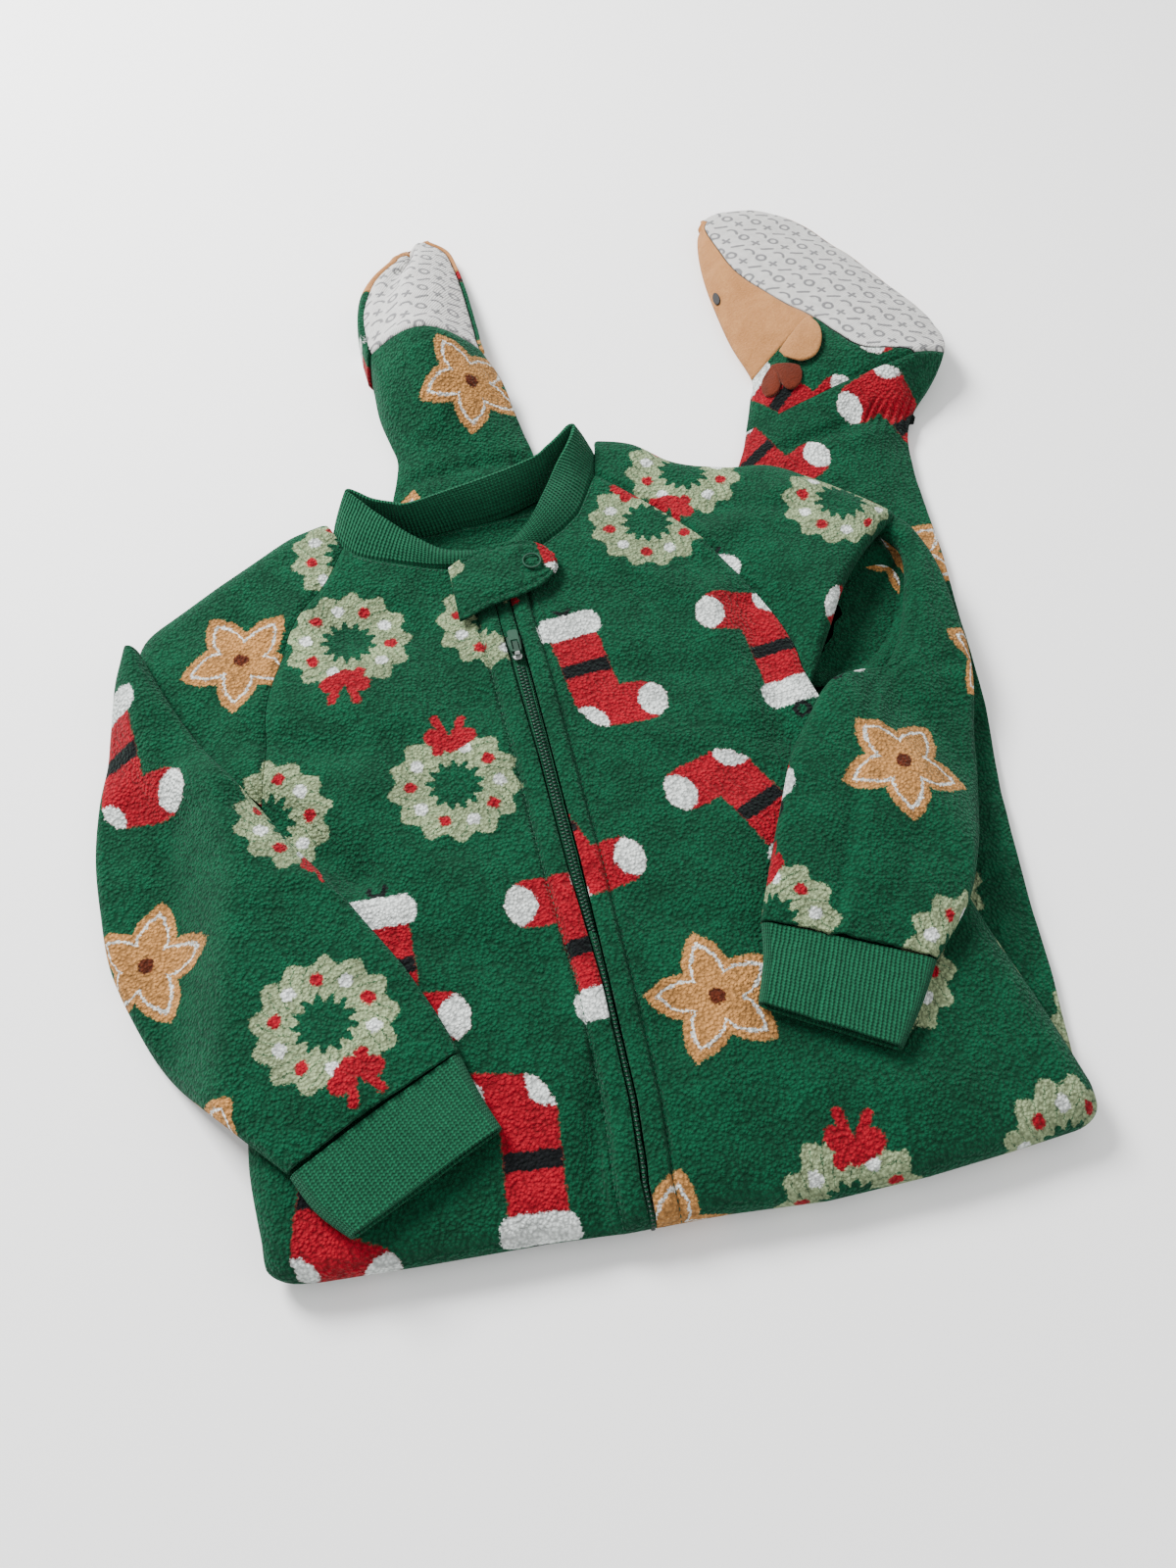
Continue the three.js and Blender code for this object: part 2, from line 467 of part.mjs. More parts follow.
add('sleeve_right_forearm', cloth({
  surface: flatTube(FOREARM_RIGHT, underRight, SLEEVE_THICK, 2), rows: range(16), columns: TUBE_COLUMNS, wall: FLEECE, loop: true, flip: -1,
}), fleeceGreen);
add('sleeve_left_forearm', cloth({
  surface: flatTube(FOREARM_LEFT, underLeft, SLEEVE_THICK, 2), rows: range(17), columns: TUBE_COLUMNS, wall: FLEECE, loop: true, flip: 1,
}), fleeceGreen);
add('cuff_right', cloth({
  surface: flatTube(CUFF_RIGHT, underRight, CUFF_THICK, 1), rows: range(4), columns: TUBE_COLUMNS, wall: RIB, loop: true, flip: -1,
}), ribGreen);
add('cuff_left', cloth({
  surface: flatTube(CUFF_LEFT, underLeft, CUFF_THICK, 1), rows: range(4), columns: TUBE_COLUMNS, wall: RIB, loop: true, flip: 1,
}), ribGreen);

// Neck
add('neck_band', cloth({
  surface: bandSkin, rows: range(44), columns: [0, 0.3, 0.65, 1], wall: RIB, flip: 1,
}), ribGreen);
add('back', cloth({
  surface: backSkin, rows: range(5), columns: range(8), wall: 1.8, flip: -1,
}), fleeceGreen);

// Zip: the coil on its tape between the two lips, and the strip of fleece behind it above the slider
const ZIP_TOP = 88;
const UNDER_SLIDER = 72;     // from here to the top the coil lies lower
function zipSkin(s, t) {
  const y = mix(ZIP_TOP, foldStart(zipX(-182)), clamp(s));
  const x = zipX(y) + (2 * t - 1) * (zipHalf(y) - 0.1);
  const swell = 1.3 * clamp((zipHalf(y) - 0.6) / 2.4);
  const crown = swell * Math.sin(Math.PI * clamp(t)) * (1 - ease((y - UNDER_SLIDER) / 4));
  const z = topCloth(x, y) - 1.3 + crown;
  if (s <= 1) return point(x, y, z);
  const angle = (s - 1) * 300 * TO_RADIANS;
  return point(x, y - FOLD_DEPTH * Math.sin(angle), FOLD_MID + (z - FOLD_MID) * Math.cos(angle));
}
add('zip_coil', cloth({
  surface: zipSkin, rows: [...range(24), 1.12, 1.24, 1.36, 1.48], columns: [0, 0.25, 0.5, 0.75, 1], wall: 1.7,
}), zipGreen);
// Slider and pull tab. The pull lies towards the neck and turns on a bar under the slider's bridge.
const SLIDER = { x: -17.6, rear: 75.5, front: 91, frontHalf: 3.6, rearHalf: 2.4, bottom: 22.8, plate: 1.4, bridgeHalf: 1.2, bridgeTop: 27.4 };
const PULL = { bar: 80, barThick: 1.2, half: 2.7, windowHalf: 1.6, windowEnd: 86.2, end: 92.6, bottom: 24.6, thick: 1.3 };
function extrude(outline, hole, depth, bevel) {
  const shape = new THREE.Shape(outline.map(([x, y]) => new THREE.Vector2(x, y)));
  if (hole) shape.holes.push(new THREE.Path(hole.map(([x, y]) => new THREE.Vector2(x, y))));
  return new THREE.ExtrudeGeometry(shape, {
    depth: depth - 2 * bevel, bevelEnabled: bevel > 0, bevelThickness: bevel, bevelSize: bevel, bevelOffset: -bevel, bevelSegments: 1,
  }).translate(0, 0, bevel);
}
function slider() {
  const { rear, front, frontHalf, rearHalf, bottom, plate, bridgeHalf, bridgeTop } = SLIDER;
  const outline = [
    [-rearHalf, rear + 1.5], [-rearHalf + 1, rear], [rearHalf - 1, rear], [rearHalf, rear + 1.5], [frontHalf, front - 5], [frontHalf, front - 1.6],
    [frontHalf - 1.4, front], [-frontHalf + 1.4, front], [-frontHalf, front - 1.6], [-frontHalf, front - 5],
  ];
  const base = extrude(outline, null, plate, 0.3).translate(0, 0, bottom);
  const floor = bottom + plate - 0.2;
  const arch = [
    [76.6, floor], [78.2, floor], [78.2, 26.3], [84, 26.3], [84, floor], [85.2, floor], [85.2, 26.7], [84.3, bridgeTop], [77.6, bridgeTop],
    [76.6, 26.7],
  ];
  const upright = new THREE.Matrix4().makeBasis(point(0, 1, 0), point(0, 0, 1), point(1, 0, 0));
  const bridge = extrude(arch, null, 2 * bridgeHalf, 0).applyMatrix4(upright).translate(-bridgeHalf, 0, 0);
  return fromSolid(toSolid(base).add(toSolid(bridge))).translate(SLIDER.x, 0, 0);
}
function pull() {
  const { bar, barThick, half, windowHalf, windowEnd, end, bottom, thick } = PULL;
  const rear = bar - barThick / 2;
  const outline = [
    [-half + 0.6, rear], [half - 0.6, rear], [half, rear + 0.8], [half, end - 1], [half - 1, end], [-half + 1, end], [-half, end - 1],
    [-half, rear + 0.8],
  ];
  const hole = [
    [-windowHalf, rear + barThick], [windowHalf, rear + barThick], [windowHalf, windowEnd], [-windowHalf, windowEnd],
  ];
  return extrude(outline, hole, thick, 0.2).translate(SLIDER.x, 0, bottom);
}
add('zip_slider', slider(), tabPlastic);
add('zip_guard', cloth({
  surface: (s, t) => {
    const y = mix(SLIDER.front + 0.5, 139, s);
    return point(zipX(y) + (2 * t - 1) * 3.6, y, 22.2 + 0.5 * Math.sin(Math.PI * clamp(t)));
  },
  rows: range(5), columns: range(3), wall: 2, flip: -1,
}), fleeceGreen);
add('zip_pull', pull(), tabPlastic);

// Snap tab: two layers of fleece, square at its sewn end and round at the snap
const TAB_THICK = 2.9;
const TAB = table('x low high top', [
  [-41.4, 103.6, 138.6, 26.6], [-35, 104.8, 141.5, 28.2], [-27, 107.2, 143.8, 29.2], [-18, 109.2, 145.6, 29.7], [-9, 110.8, 146.4, 29.7],
  [-1, 113.4, 145.6, 29.5], [5, 116.6, 143.2, 29.3], [9.6, 120.6, 139.4, 29.1], [12.4, 126, 133.8, 29],
]);
add('snap_tab', cloth({
  surface: (s, t) => {
    const row = along(TAB, s);
    return point(row.x, mix(row.low, row.high, t), row.top + 0.7 * Math.sin(Math.PI * clamp(t)) - 0.7);
  },
  rows: range(12), columns: [0, 0.06, 0.3, 0.5, 0.7, 0.94, 1], wall: TAB_THICK,
}), fleeceGreen);
const SNAP = { x: 0.6, y: 129.8, bottom: 29.9, outer: 5, inner: 4, high: 0.9 };
const snapProfile = [[SNAP.inner, 0], [SNAP.outer, 0], [SNAP.outer, 0.55], [4.75, SNAP.high], [4.25, SNAP.high], [SNAP.inner, 0.55], [SNAP.inner, 0]];
add('snap_ring', new THREE.LatheGeometry(snapProfile.map(([r, z]) => new THREE.Vector2(r, z)), 24)
  .rotateX(Math.PI / 2).translate(SNAP.x, SNAP.y, SNAP.bottom), tabPlastic);

// Legs and feet
function foot(side, rows, capRow, heelRow, room) {
  const surface = legSkin(rows);
  const last = rows.length - 1;
  const gap = room / last;
  const cap = capRow / last;
  const heel = heelRow / last;
  // The wall is pared where the seams meet at the toe.
  const wallAt = (s, t) => FLEECE * mix(0.45, 1, ease(s * last)) * lookUp(LEG_WALL, 't', t % 1, 'share');
  const wall = { at: wallAt };
  const legWall = { at: (s, t) => LEG_SHARE * wallAt(s, t) };
  const upper = { surface, columns: UPPER_COLUMNS, corners: LEG_CORNERS, wall };
  add(`toe_cap_${side}`, cloth({ ...upper, rows: range(capRow, 0, cap - gap) }), plushTan);
  add(`heel_${side}`, cloth({ ...upper, rows: range(heelRow - capRow, cap + gap, heel - gap) }), fleeceGreen);
  add(`sole_${side}`, cloth({ ...upper, rows: range(heelRow + 1, 0, heel - gap), columns: SOLE_COLUMNS }), soleWhite);
  add(`leg_${side}`, cloth({
    ...upper, rows: range(last - heelRow, heel + gap, 1), columns: LEG_COLUMNS, loop: true, wall: legWall,
  }), fleeceGreen);
}
foot('left', LEG_LEFT, 6, 9, 0.036);
foot('right', LEG_RIGHT, 2, 5, 0.014);

// Plush and felt pieces sewn on the left foot: flat shapes laid square on its skin
function onFoot(geometry, s, t, spin, lift) {
  const skin = legSkin(LEG_LEFT);
  const up = normalOf(skin, s, t);
  const side = new THREE.Vector3().crossVectors(point(0, 1, 0), up).normalize();
  const ahead = new THREE.Vector3().crossVectors(up, side);
  const place = new THREE.Matrix4().makeBasis(side, ahead, up).setPosition(skin(s, t).addScaledVector(up, lift));
  return geometry.rotateZ(spin * TO_RADIANS).applyMatrix4(place);
}
const EAR = [[-9, -11], [-2, -13.5], [5, -11], [9, -4], [9.5, 4], [6, 11], [1, 14.5], [-2.5, 8], [-6, 0]];
const ANTLER = [
  [-12, -2], [-4, -3], [2, -7], [5, -6.5], [3.5, -2.5], [8, -3], [12, -6], [14, -4], [11.5, 1], [6, 3], [0, 2.4], [-4, 5.5], [-7, 5], [-6.5, 1.5],
  [-12, 1.6],
];
const EYE = range(11).map((k) => [2.4 * Math.cos(k * 2 * Math.PI * (11 / 12)), 5 * Math.sin(k * 2 * Math.PI * (11 / 12))]);
add('ear', onFoot(extrude(EAR, null, 3, 0.8), 0.322, 0.442, -22, 0.35), plushTan);
add('antler', onFoot(extrude(ANTLER, null, 1.6, 0.2), 0.35, 0.404, -20, 0.3), feltBrown);
add('eye', onFoot(extrude(EYE, null, 0.8, 0), 0.174, 0.378, 0, 0.4), stitchBlack);

// Hidden layers: back, thighs and the sleeves' undersides as one rounded solid, grooved at its edges like layers
const HIDDEN_TOP = 14.4;
const LEG_BESIDE = 97.4;       // the left leg lies beside the lower layer from here outwards
// left and right are its sides; in is how far its lower layer stays back.
const HIDDEN_MAIN = table('y left right low', [
  [-183, -148, 163, 7.2], [-179, -157, 168, 7.2], [-178, -160, 169, 0], [-170, -165, 169, 0], [-146, -170, 163, 0], [-110, -167, 155, 0],
  [-76, -162, 149, 0], [-40, -157, 141, 0], [-6, -155, 128, 0], [20, -160, 118, 0], [50, -176, 114, 0], [80, -186, 108, 0],
  [96, -187, 104.5, 0], [110, -186, 101.5, 0], [136.3, -169, 101, 0],
]);
const HIDDEN_RIGHT = table('y left right', [[118, -186, -86], [134, -182, -86], [150, -158, -87], [164, -132, -89], [176, -114, -92]]);
const HIDDEN_LEFT = table('y left right', [[118, 34, 87], [134, 34, 88], [150, 36, 92], [166, 44, 88], [184, 54, 78]]);
const HIDDEN_ELBOW = table('y left right', [[34, 108, 190], [60, 104, 194], [90, 98, 194], [120, 90, 188], [140, 84, 176], [150, 80, 160]]);

// The main stretch: two rounded edges on the right side of the wearer, one above the leg on the left.
function mainSection({ y, left, right, low }) {
  const points = [
    [left + 8, 0], [left + 3.6, 1.4], [left + 2.6, 4.4], [left + 3.8, 7.4], [left + 6.4, 8.2], [left + 2, 9.2], [left + 1.2, 10.8],
    [left + 2.2, 12.2], [left + 7, 13], [left + 15, HIDDEN_TOP], [right - 15, HIDDEN_TOP], [right - 7, 13], [right - 2.2, 12.2],
    [right - 1.2, 11.2], [right - 2.4, 9.9], [LEG_BESIDE, 9.6], [LEG_BESIDE, 0],
  ];
  return { y, points: points.map(([x, z]) => [x, Math.max(z, low)]) };
}
const blockSection = (low, high) => ({ y, left, right }) => ({ y, points: [
  [left + 1.5, low], [left, (low + high) / 2], [left + 1.5, high], [right - 1.5, high], [right, (low + high) / 2], [right - 1.5, low],
] });
const hidden = [
  loft(HIDDEN_MAIN.map(mainSection)), loft(HIDDEN_RIGHT.map(blockSection(0, 11))), loft(HIDDEN_LEFT.map(blockSection(0, 12))),
  loft(HIDDEN_ELBOW.map(blockSection(9.7, 12.2))),
].map(toSolid).reduce((whole, piece) => whole.add(piece));
add('hidden_layers', fromSolid(hidden), fleeceGreen);

// The origin is at the middle of the whole, on the surface that it lies on
const whole = new THREE.Box3().setFromObject(garment);
const middle = whole.getCenter(new THREE.Vector3());
garment.position.set(-middle.x, -middle.y, -whole.min.z);

export default garment;
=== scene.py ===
"""Folded footed pajama of printed fleece: its cloth, trims, zip, feet and stage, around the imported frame."""

import json
import math
from types import SimpleNamespace

import bpy
import numpy as np
from mathutils import Matrix, Vector

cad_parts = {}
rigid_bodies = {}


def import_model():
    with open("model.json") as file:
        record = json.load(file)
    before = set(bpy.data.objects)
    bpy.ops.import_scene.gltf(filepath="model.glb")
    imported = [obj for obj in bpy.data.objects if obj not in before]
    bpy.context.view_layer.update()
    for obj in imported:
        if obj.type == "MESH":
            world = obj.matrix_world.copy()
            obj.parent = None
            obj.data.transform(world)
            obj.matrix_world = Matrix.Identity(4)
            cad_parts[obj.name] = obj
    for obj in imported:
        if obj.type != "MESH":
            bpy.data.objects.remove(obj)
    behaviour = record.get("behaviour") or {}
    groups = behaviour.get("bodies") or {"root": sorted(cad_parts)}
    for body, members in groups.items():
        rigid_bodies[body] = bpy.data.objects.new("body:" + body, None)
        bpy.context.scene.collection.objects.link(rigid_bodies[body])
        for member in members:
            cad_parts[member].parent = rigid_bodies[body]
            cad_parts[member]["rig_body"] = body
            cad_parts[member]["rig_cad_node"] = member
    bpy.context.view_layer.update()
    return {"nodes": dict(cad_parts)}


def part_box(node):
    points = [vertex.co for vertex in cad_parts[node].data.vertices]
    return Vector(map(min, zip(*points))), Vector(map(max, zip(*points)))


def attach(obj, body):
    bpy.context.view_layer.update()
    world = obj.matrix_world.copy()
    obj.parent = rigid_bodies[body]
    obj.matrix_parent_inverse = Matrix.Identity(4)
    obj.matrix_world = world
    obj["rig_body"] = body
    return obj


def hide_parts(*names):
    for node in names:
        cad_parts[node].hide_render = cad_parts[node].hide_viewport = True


bl_info = {
    "name": "Folded footed pajama",
    "version": (1, 0, 0),
    "blender": (4, 5, 0),
    "location": "3D View > Sidebar > Pajama",
    "description": "Builds the fleece panels, rib trims, zip, snap tab, feet and stage of a folded pajama",
    "category": "Add Mesh",
}

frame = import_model()

# Plan frame: millimetres from a place near the middle of the chest. The snap is at SNAP there, so its place
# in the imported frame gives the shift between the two.
SNAP = (0.6, 129.8)
snap_low, snap_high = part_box("snap_ring")
SHIFT = np.array([
    SNAP[0] - 500 * (snap_low.x + snap_high.x), SNAP[1] - 500 * (snap_low.y + snap_high.y), 0.0,
])

# Sizes shared with the solids, in millimetres
TOP = 22                 # height of the fronts over the surface
RIM = 13                 # height at which the fronts' side edge ends
EDGE = 13                # how far in from the side the fronts start to turn down
FOLD_DEPTH = 16          # how far the bottom fold stands out from where it starts
FOLD_MID = 11.2          # height of the middle of the bottom fold
SEAM = 0.35              # room between two pieces that are sewn together
REST = 0.45              # room under a piece that lies on another
SLEEVE_THICK = 9
CUFF_THICK = 7.8
CUFF_DEPTH = 36
LEG_THICK = 8.8
SHOULDER_DROP = 5
CREASE_GAIN = 1.45       # how much deeper the fleece's creases are than in the solids
NOISE_GRID = 64


def table(columns, rows):
    """A table of sections: one line of column names, then a row for each section."""
    values = np.array(rows, float)
    return {name: values[:, i] for i, name in enumerate(columns.split())}


def along(rows, s):
    """The smooth curve through a table's rows, all columns together; s runs from 0 to 1."""
    count = len(next(iter(rows.values())))
    place = np.clip(s, 0, 1) * (count - 1)
    i = np.minimum(np.floor(place).astype(int), count - 2)
    t = place - i
    found = {}
    for name, values in rows.items():
        a = values[np.maximum(i - 1, 0)]
        b = values[i]
        c = values[i + 1]
        d = values[np.minimum(i + 2, count - 1)]
        found[name] = b + 0.5 * t * (c - a + t * (2 * a - 5 * b + 4 * c - d + t * (3 * (b - c) + d - a)))
    return SimpleNamespace(**found)


def look_up(rows, key, place, column):
    """The value of one column at a place given by another, by straight steps between rows."""
    keys = rows[key]
    order = np.argsort(keys)
    return np.interp(place, keys[order], rows[column][order])


def mix(a, b, t):
    return a + (b - a) * t


def ease(t):
    t = np.clip(t, 0, 1)
    return t * t * (3 - 2 * t)


def bell(distance, width):
    """A soft hump, 1 at no distance."""
    return np.exp(-((distance / width) ** 2))


def value_noise(x, y, size, seed):
    """Smooth unevenness from -1 to 1 with humps of about the given size; a seed always gives the same humps."""
    grid = np.random.default_rng(seed).uniform(-1, 1, (NOISE_GRID, NOISE_GRID))
    gx, gy = x / size, y / size
    i, j = np.floor(gx).astype(int), np.floor(gy).astype(int)
    fx, fy = ease(gx - i), ease(gy - j)
    left, right = i % NOISE_GRID, (i + 1) % NOISE_GRID
    low, high = j % NOISE_GRID, (j + 1) % NOISE_GRID
    here = mix(grid[left, low], grid[right, low], fx)
    there = mix(grid[left, high], grid[right, high], fx)
    return mix(here, there, fy)


# Creases and swells of the fronts: a soft trough (rise below 0) or ridge from one end to the other. The first
# stretch of rows is in the solids too.
FOLDS = table("x1 y1 x2 y2 width rise", [
    [-152, 24, -112, -22, 10, -4.2], [-96, 116, -52, 124, 20, -2.6], [-100, 22, -62, -44, 15, 2.4],
    [88, 92, 86, 22, 12, 2.6], [101, 82, 98, 4, 11, -2.6], [-46, -190, -30, -150, 8, -2.4],
    [18, -186, 12, -146, 11, 1.8], [60, -34, 22, -150, 18, 1.4], [-60, 104, -46, 58, 14, -1.8],
    [-120, 122, -86, 60, 18, 1.6], [-196, 40, -150, 100, 16, -1.4],
    [-40, -192, -27, -128, 4, -1.6], [-34, 60, -30, -10, 7, -0.8], [-150, 60, -108, 44, 8, -1.3],
    [-138, -20, -100, -44, 6, 1.3], [-96, 8, -70, -20, 7, -1.2], [-70, 132, -48, 108, 7, 1.0],
    [34, 140, 66, 104, 8, 1.1], [28, 60, 84, 46, 9, -1.2], [40, 20, 92, -6, 8, 1.0],
    [0, -60, 60, -96, 10, -1.1], [-90, -60, -40, -84, 10, -1.0], [-140, -120, -80, -160, 12, 1.3],
    [60, -160, 120, -180, 10, 1.2], [6, -120, 24, -190, 6, -1.2], [90, 130, 140, 150, 9, 1.3],
    [100, 150, 150, 138, 7, -1.3], [-150, 130, -120, 90, 7, -1.3], [-170, 120, -150, 80, 7, 1.2],
])


def relief(x, y):
    rise = np.zeros_like(x)
    for x1, y1, x2, y2, width, height in zip(*FOLDS.values()):
        dx, dy = x2 - x1, y2 - y1
        t = np.clip(((x - x1) * dx + (y - y1) * dy) / (dx * dx + dy * dy), 0, 1)
        rise = rise + height * bell(np.hypot(x - x1 - t * dx, y - y1 - t * dy), width)
    return CREASE_GAIN * rise + 0.8 * value_noise(x, y, 34, 3) + 0.3 * value_noise(x, y, 11, 4)


def top_cloth(x, y):
    return TOP + relief(x, y) - SHOULDER_DROP * ease((-x - 146) / 44) * ease((y - 20) / 40)


FOLD_LINE = table("x y", [
    [-170, -186], [-150, -189], [-110, -192], [-60, -195], [-30, -198], [12, -200], [52, -204], [95, -204],
    [134, -202], [174, -199],
])
ZIP_LINE = table("y x half", [
    [142, -18.5, 3.8], [100, -18, 3.8], [66, -17, 3.8], [20, -16, 3.2], [-40, -15.5, 3], [-66, -15, 2.2],
    [-96, -14.5, 1.4], [-150, -15.5, 1.4], [-176, -18, 1.4], [-200, -22, 1.4],
])
FRONT_RIGHT = table("outX outY inY turn", [
    [-92, 168, 140, 0], [-104, 147, 126, 0], [-119, 129, 112, 0], [-131, 106, 92, 0], [-141, 80, 70, 0],
    [-145, 50, 45, 0], [-150, 26, 20, 0.1], [-156, -6, -8, 0.9], [-160, -40, -40, 1], [-165, -76, -76, 1],
    [-170, -110, -112, 1], [-173, -140, -146, 1], [-171, -170, -181, 1],
])
FRONT_LEFT = table("outX outY inY turn", [
    [47, 188, 140, 0], [65, 169, 126, 0], [84, 144, 112, 0], [99, 115, 92, 0], [112, 84, 70, 0],
    [118, 58, 45, 0], [119, 34, 20, 0.1], [131, -2, -8, 0.9], [144, -38, -40, 1], [152, -72, -76, 1],
    [158, -108, -112, 1], [166, -144, -148, 1], [173, -183, -184, 1],
])
NECK_RIGHT = table("x y", [[-92, 168], [-86, 160.6], [-75, 154.4], [-58, 147.8], [-42, 142.8], [-20, 140]])
NECK_LEFT = table("x y", [
    [-14, 140.2], [2, 142.4], [12, 148.2], [22, 154], [32, 162.2], [39, 174], [47, 188],
])
NECK_SHARE = 0.24
NECK_STITCH = 0.017      # how far down the fronts the stitching beside the neck band runs
RAGLAN_ROWS = 0.5        # the share of the fronts' rows that border the sleeve


def fold_start(x):
    return look_up(FOLD_LINE, "x", x, "y") + FOLD_DEPTH


def zip_x(y):
    return look_up(ZIP_LINE, "y", y, "x")


def zip_half(y):
    return look_up(ZIP_LINE, "y", y, "half")


# Columns of a front count through three stretches: 0 to 1 the side edge, 1 to 2 the panel, 2 to 3 the lip.
SIDE_STRETCH = 16
LIP_STRETCH = 15
FRONT_LENGTH = 330       # from the neck to the start of the bottom fold
FOLD_END = 0.48          # how far round the fold the cloth goes on


def lip_profile(distance, side):
    """Height of the doubled strip beside the zip, its sewn groove and the swell beyond."""
    crown = 2.0 if side < 0 else 2.3
    width = 4.9 if side < 0 else 4.6
    ridge = crown * np.sqrt(np.clip(1 - ((distance - width) / (width + 0.3)) ** 2, 0, 1))
    groove = -1.5 * bell(distance - 2 * width - 0.6, 1.0)
    return ridge + groove + 0.7 * bell(distance - 2 * width - 3.6, 2.0)


def front_skin(rows, neck, side):
    """One front: s 0 to 1 from neck to the start of the fold, 1 to 1.5 round the fold."""
    def skin(s, c):
        row = along(rows, s)
        zip_edge = zip_x(row.inY) + side * (zip_half(row.inY) + SEAM)
        length = np.hypot(zip_edge - row.outX, row.inY - row.outY)
        panel = SIDE_STRETCH + (c - 1) * (length - SIDE_STRETCH - LIP_STRETCH)
        from_side = np.where(c < 1, SIDE_STRETCH * c, np.where(c < 2, panel, length - LIP_STRETCH * (3 - c)))
        t = from_side / length
        x = mix(row.outX, zip_edge, t)
        top = mix(rows["outY"][0], 140, t)
        y = mix(row.outY, row.inY, t) + (look_up(neck, "x", x, "y") - top) * (1 - ease(s / NECK_SHARE))
        turn = row.turn * (1 - np.sqrt(1 - (1 - np.clip(from_side / EDGE, 0, 1)) ** 2))
        cloth = top_cloth(x, y)
        seam = 1.4 * bell(from_side, 2.1) * ease((RAGLAN_ROWS - s) / 0.03)
        neck_seam = bell(s * FRONT_LENGTH, 2.2)
        z = mix(cloth, RIM, turn) + lip_profile(length - from_side, side) - seam - neck_seam
        run_x = side * 0.9 * np.maximum(cloth - z, 0) * (turn > 0)
        angle = np.maximum(s - 1, 0) * math.radians(300)
        reach = (y - fold_start(x) + FOLD_DEPTH) * (1 - 0.5 * turn)
        folded_y = y - reach * np.sin(angle)
        folded_z = FOLD_MID + (z - FOLD_MID) * np.cos(angle)
        run_y = -(angle * (reach + z - FOLD_MID) / 2 - (y - folded_y))
        return np.stack([x, folded_y, folded_z, run_x, np.where(s > 1, run_y, 0)], -1)
    return skin


# Upper sleeves, from the raglan seam out to the shoulder's edge
SHOULDER_RIGHT = table("outX outY", [
    [-101, 193], [-121, 187], [-147, 171], [-174, 156], [-199, 139], [-203, 112], [-196, 88], [-186, 64],
])
SHOULDER_LEFT = table("outX outY", [
    [54, 217], [73, 210], [92, 192], [118, 182], [144, 176], [168, 154], [191, 128],
])
FLAP = SimpleNamespace(bow=10, rise=8, drop=6.5, reach=7)
SHOULDER_EDGE = 15


def upper_right_skin(s, t):
    seam = along(FRONT_RIGHT, np.minimum(s * 1.08, 1) * RAGLAN_ROWS)
    out = along(SHOULDER_RIGHT, s)
    x = mix(seam.outX - SEAM, out.outX, t)
    y = mix(seam.outY + 0.3, out.outY, t)
    length = np.hypot(out.outX - seam.outX, out.outY - seam.outY)
    turn = 1 - np.sqrt(1 - (1 - np.clip((1 - t) * length / SHOULDER_EDGE, 0, 1)) ** 2)
    low = turn * (1 - 0.55 * ease((s - 0.5) / 0.2))
    cloth = top_cloth(x, y)
    z = mix(cloth, 5, low) - 1.4 * bell(t * length, 2.1) - 1.0 * bell(s * 150, 2.4)
    return np.stack([x, y, z, -0.6 * (cloth - z) * (low > 0.02), 0.6 * (cloth - z) * (low > 0.02)], -1)


def upper_left_skin(s, t):
    row = np.minimum(s, 1)
    seam = along(FRONT_LEFT, row * RAGLAN_ROWS)
    out = along(SHOULDER_LEFT, row)
    bow = FLAP.bow * ease((row - 0.5) / 0.5) * np.sin(math.pi * np.clip(t, 0, 1))
    x = mix(seam.outX + SEAM, out.outX, t) - 0.7 * bow
    y = mix(seam.outY + 0.3, out.outY, t) + 0.7 * bow
    length = np.hypot(out.outX - seam.outX, out.outY - seam.outY)
    turn = 1 - np.sqrt(1 - (1 - np.clip((1 - t) * length / SHOULDER_EDGE, 0, 1)) ** 2)
    rise = FLAP.rise * ease((row - 0.45) / 0.55) * ease(t / 0.35)
    cloth = top_cloth(x, y) + rise
    edge = 14 + 7 * ease((row - 0.75) / 0.25)
    z = mix(cloth, edge, turn) - 1.4 * bell(t * length, 2.1) - 1.0 * bell(s * 180, 2.4)
    angle = np.maximum(s - 1, 0) * math.radians(280)
    drop = FLAP.drop * ease(0.25 + 3 * t) * (1 - 0.6 * turn)
    reach = FLAP.reach * ease(0.3 + 2 * t) * np.sin(angle)
    run = 0.6 * (cloth - z) * (turn > 0.02)
    under = 8 * angle
    folded_z = z - drop * (1 - np.cos(angle))
    return np.stack([x + 0.72 * reach, y - 0.69 * reach, folded_z, run + 0.5 * under, run - 0.5 * under], -1)


# Forearms and cuffs: flattened tubes that lie on the fronts and hang down beside them
FOREARM_RIGHT = table("inX inY outX outY", [
    [-199, 122, -207, 126], [-193, 105, -214, 105], [-183, 80, -220, 78], [-169, 52, -227, 48],
    [-151, 23, -230, 20], [-139, 1, -229, -8], [-124, -24, -226, -36], [-111, -48, -217, -64],
    [-98, -72, -205, -90], [-88, -95, -187, -114], [-81, -115, -156, -149],
])
CUFF_RIGHT = table("inX inY outX outY", [
    [-81, -116, -155, -151], [-76, -134, -147, -166], [-70, -150, -135, -179],
])
FOREARM_LEFT = table("inX inY outX outY", [
    [172, 128, 184, 137], [186, 114, 200, 120], [191, 99, 205, 104], [183, 74, 207, 86],
    [172, 51, 206, 64], [157, 33, 204, 42], [140, 31, 201, 26], [125, 26, 196, 8],
    [111, 11, 188, -14], [96, -8, 181, -36], [84, -31, 172, -57], [73, -53, 161, -78],
    [64, -72, 149, -98], [57, -87, 126, -121],
])
CUFF_LEFT = table("inX inY outX outY", [[57, -88, 125, -122], [53, -104, 113, -138], [45, -123, 98, -155]])
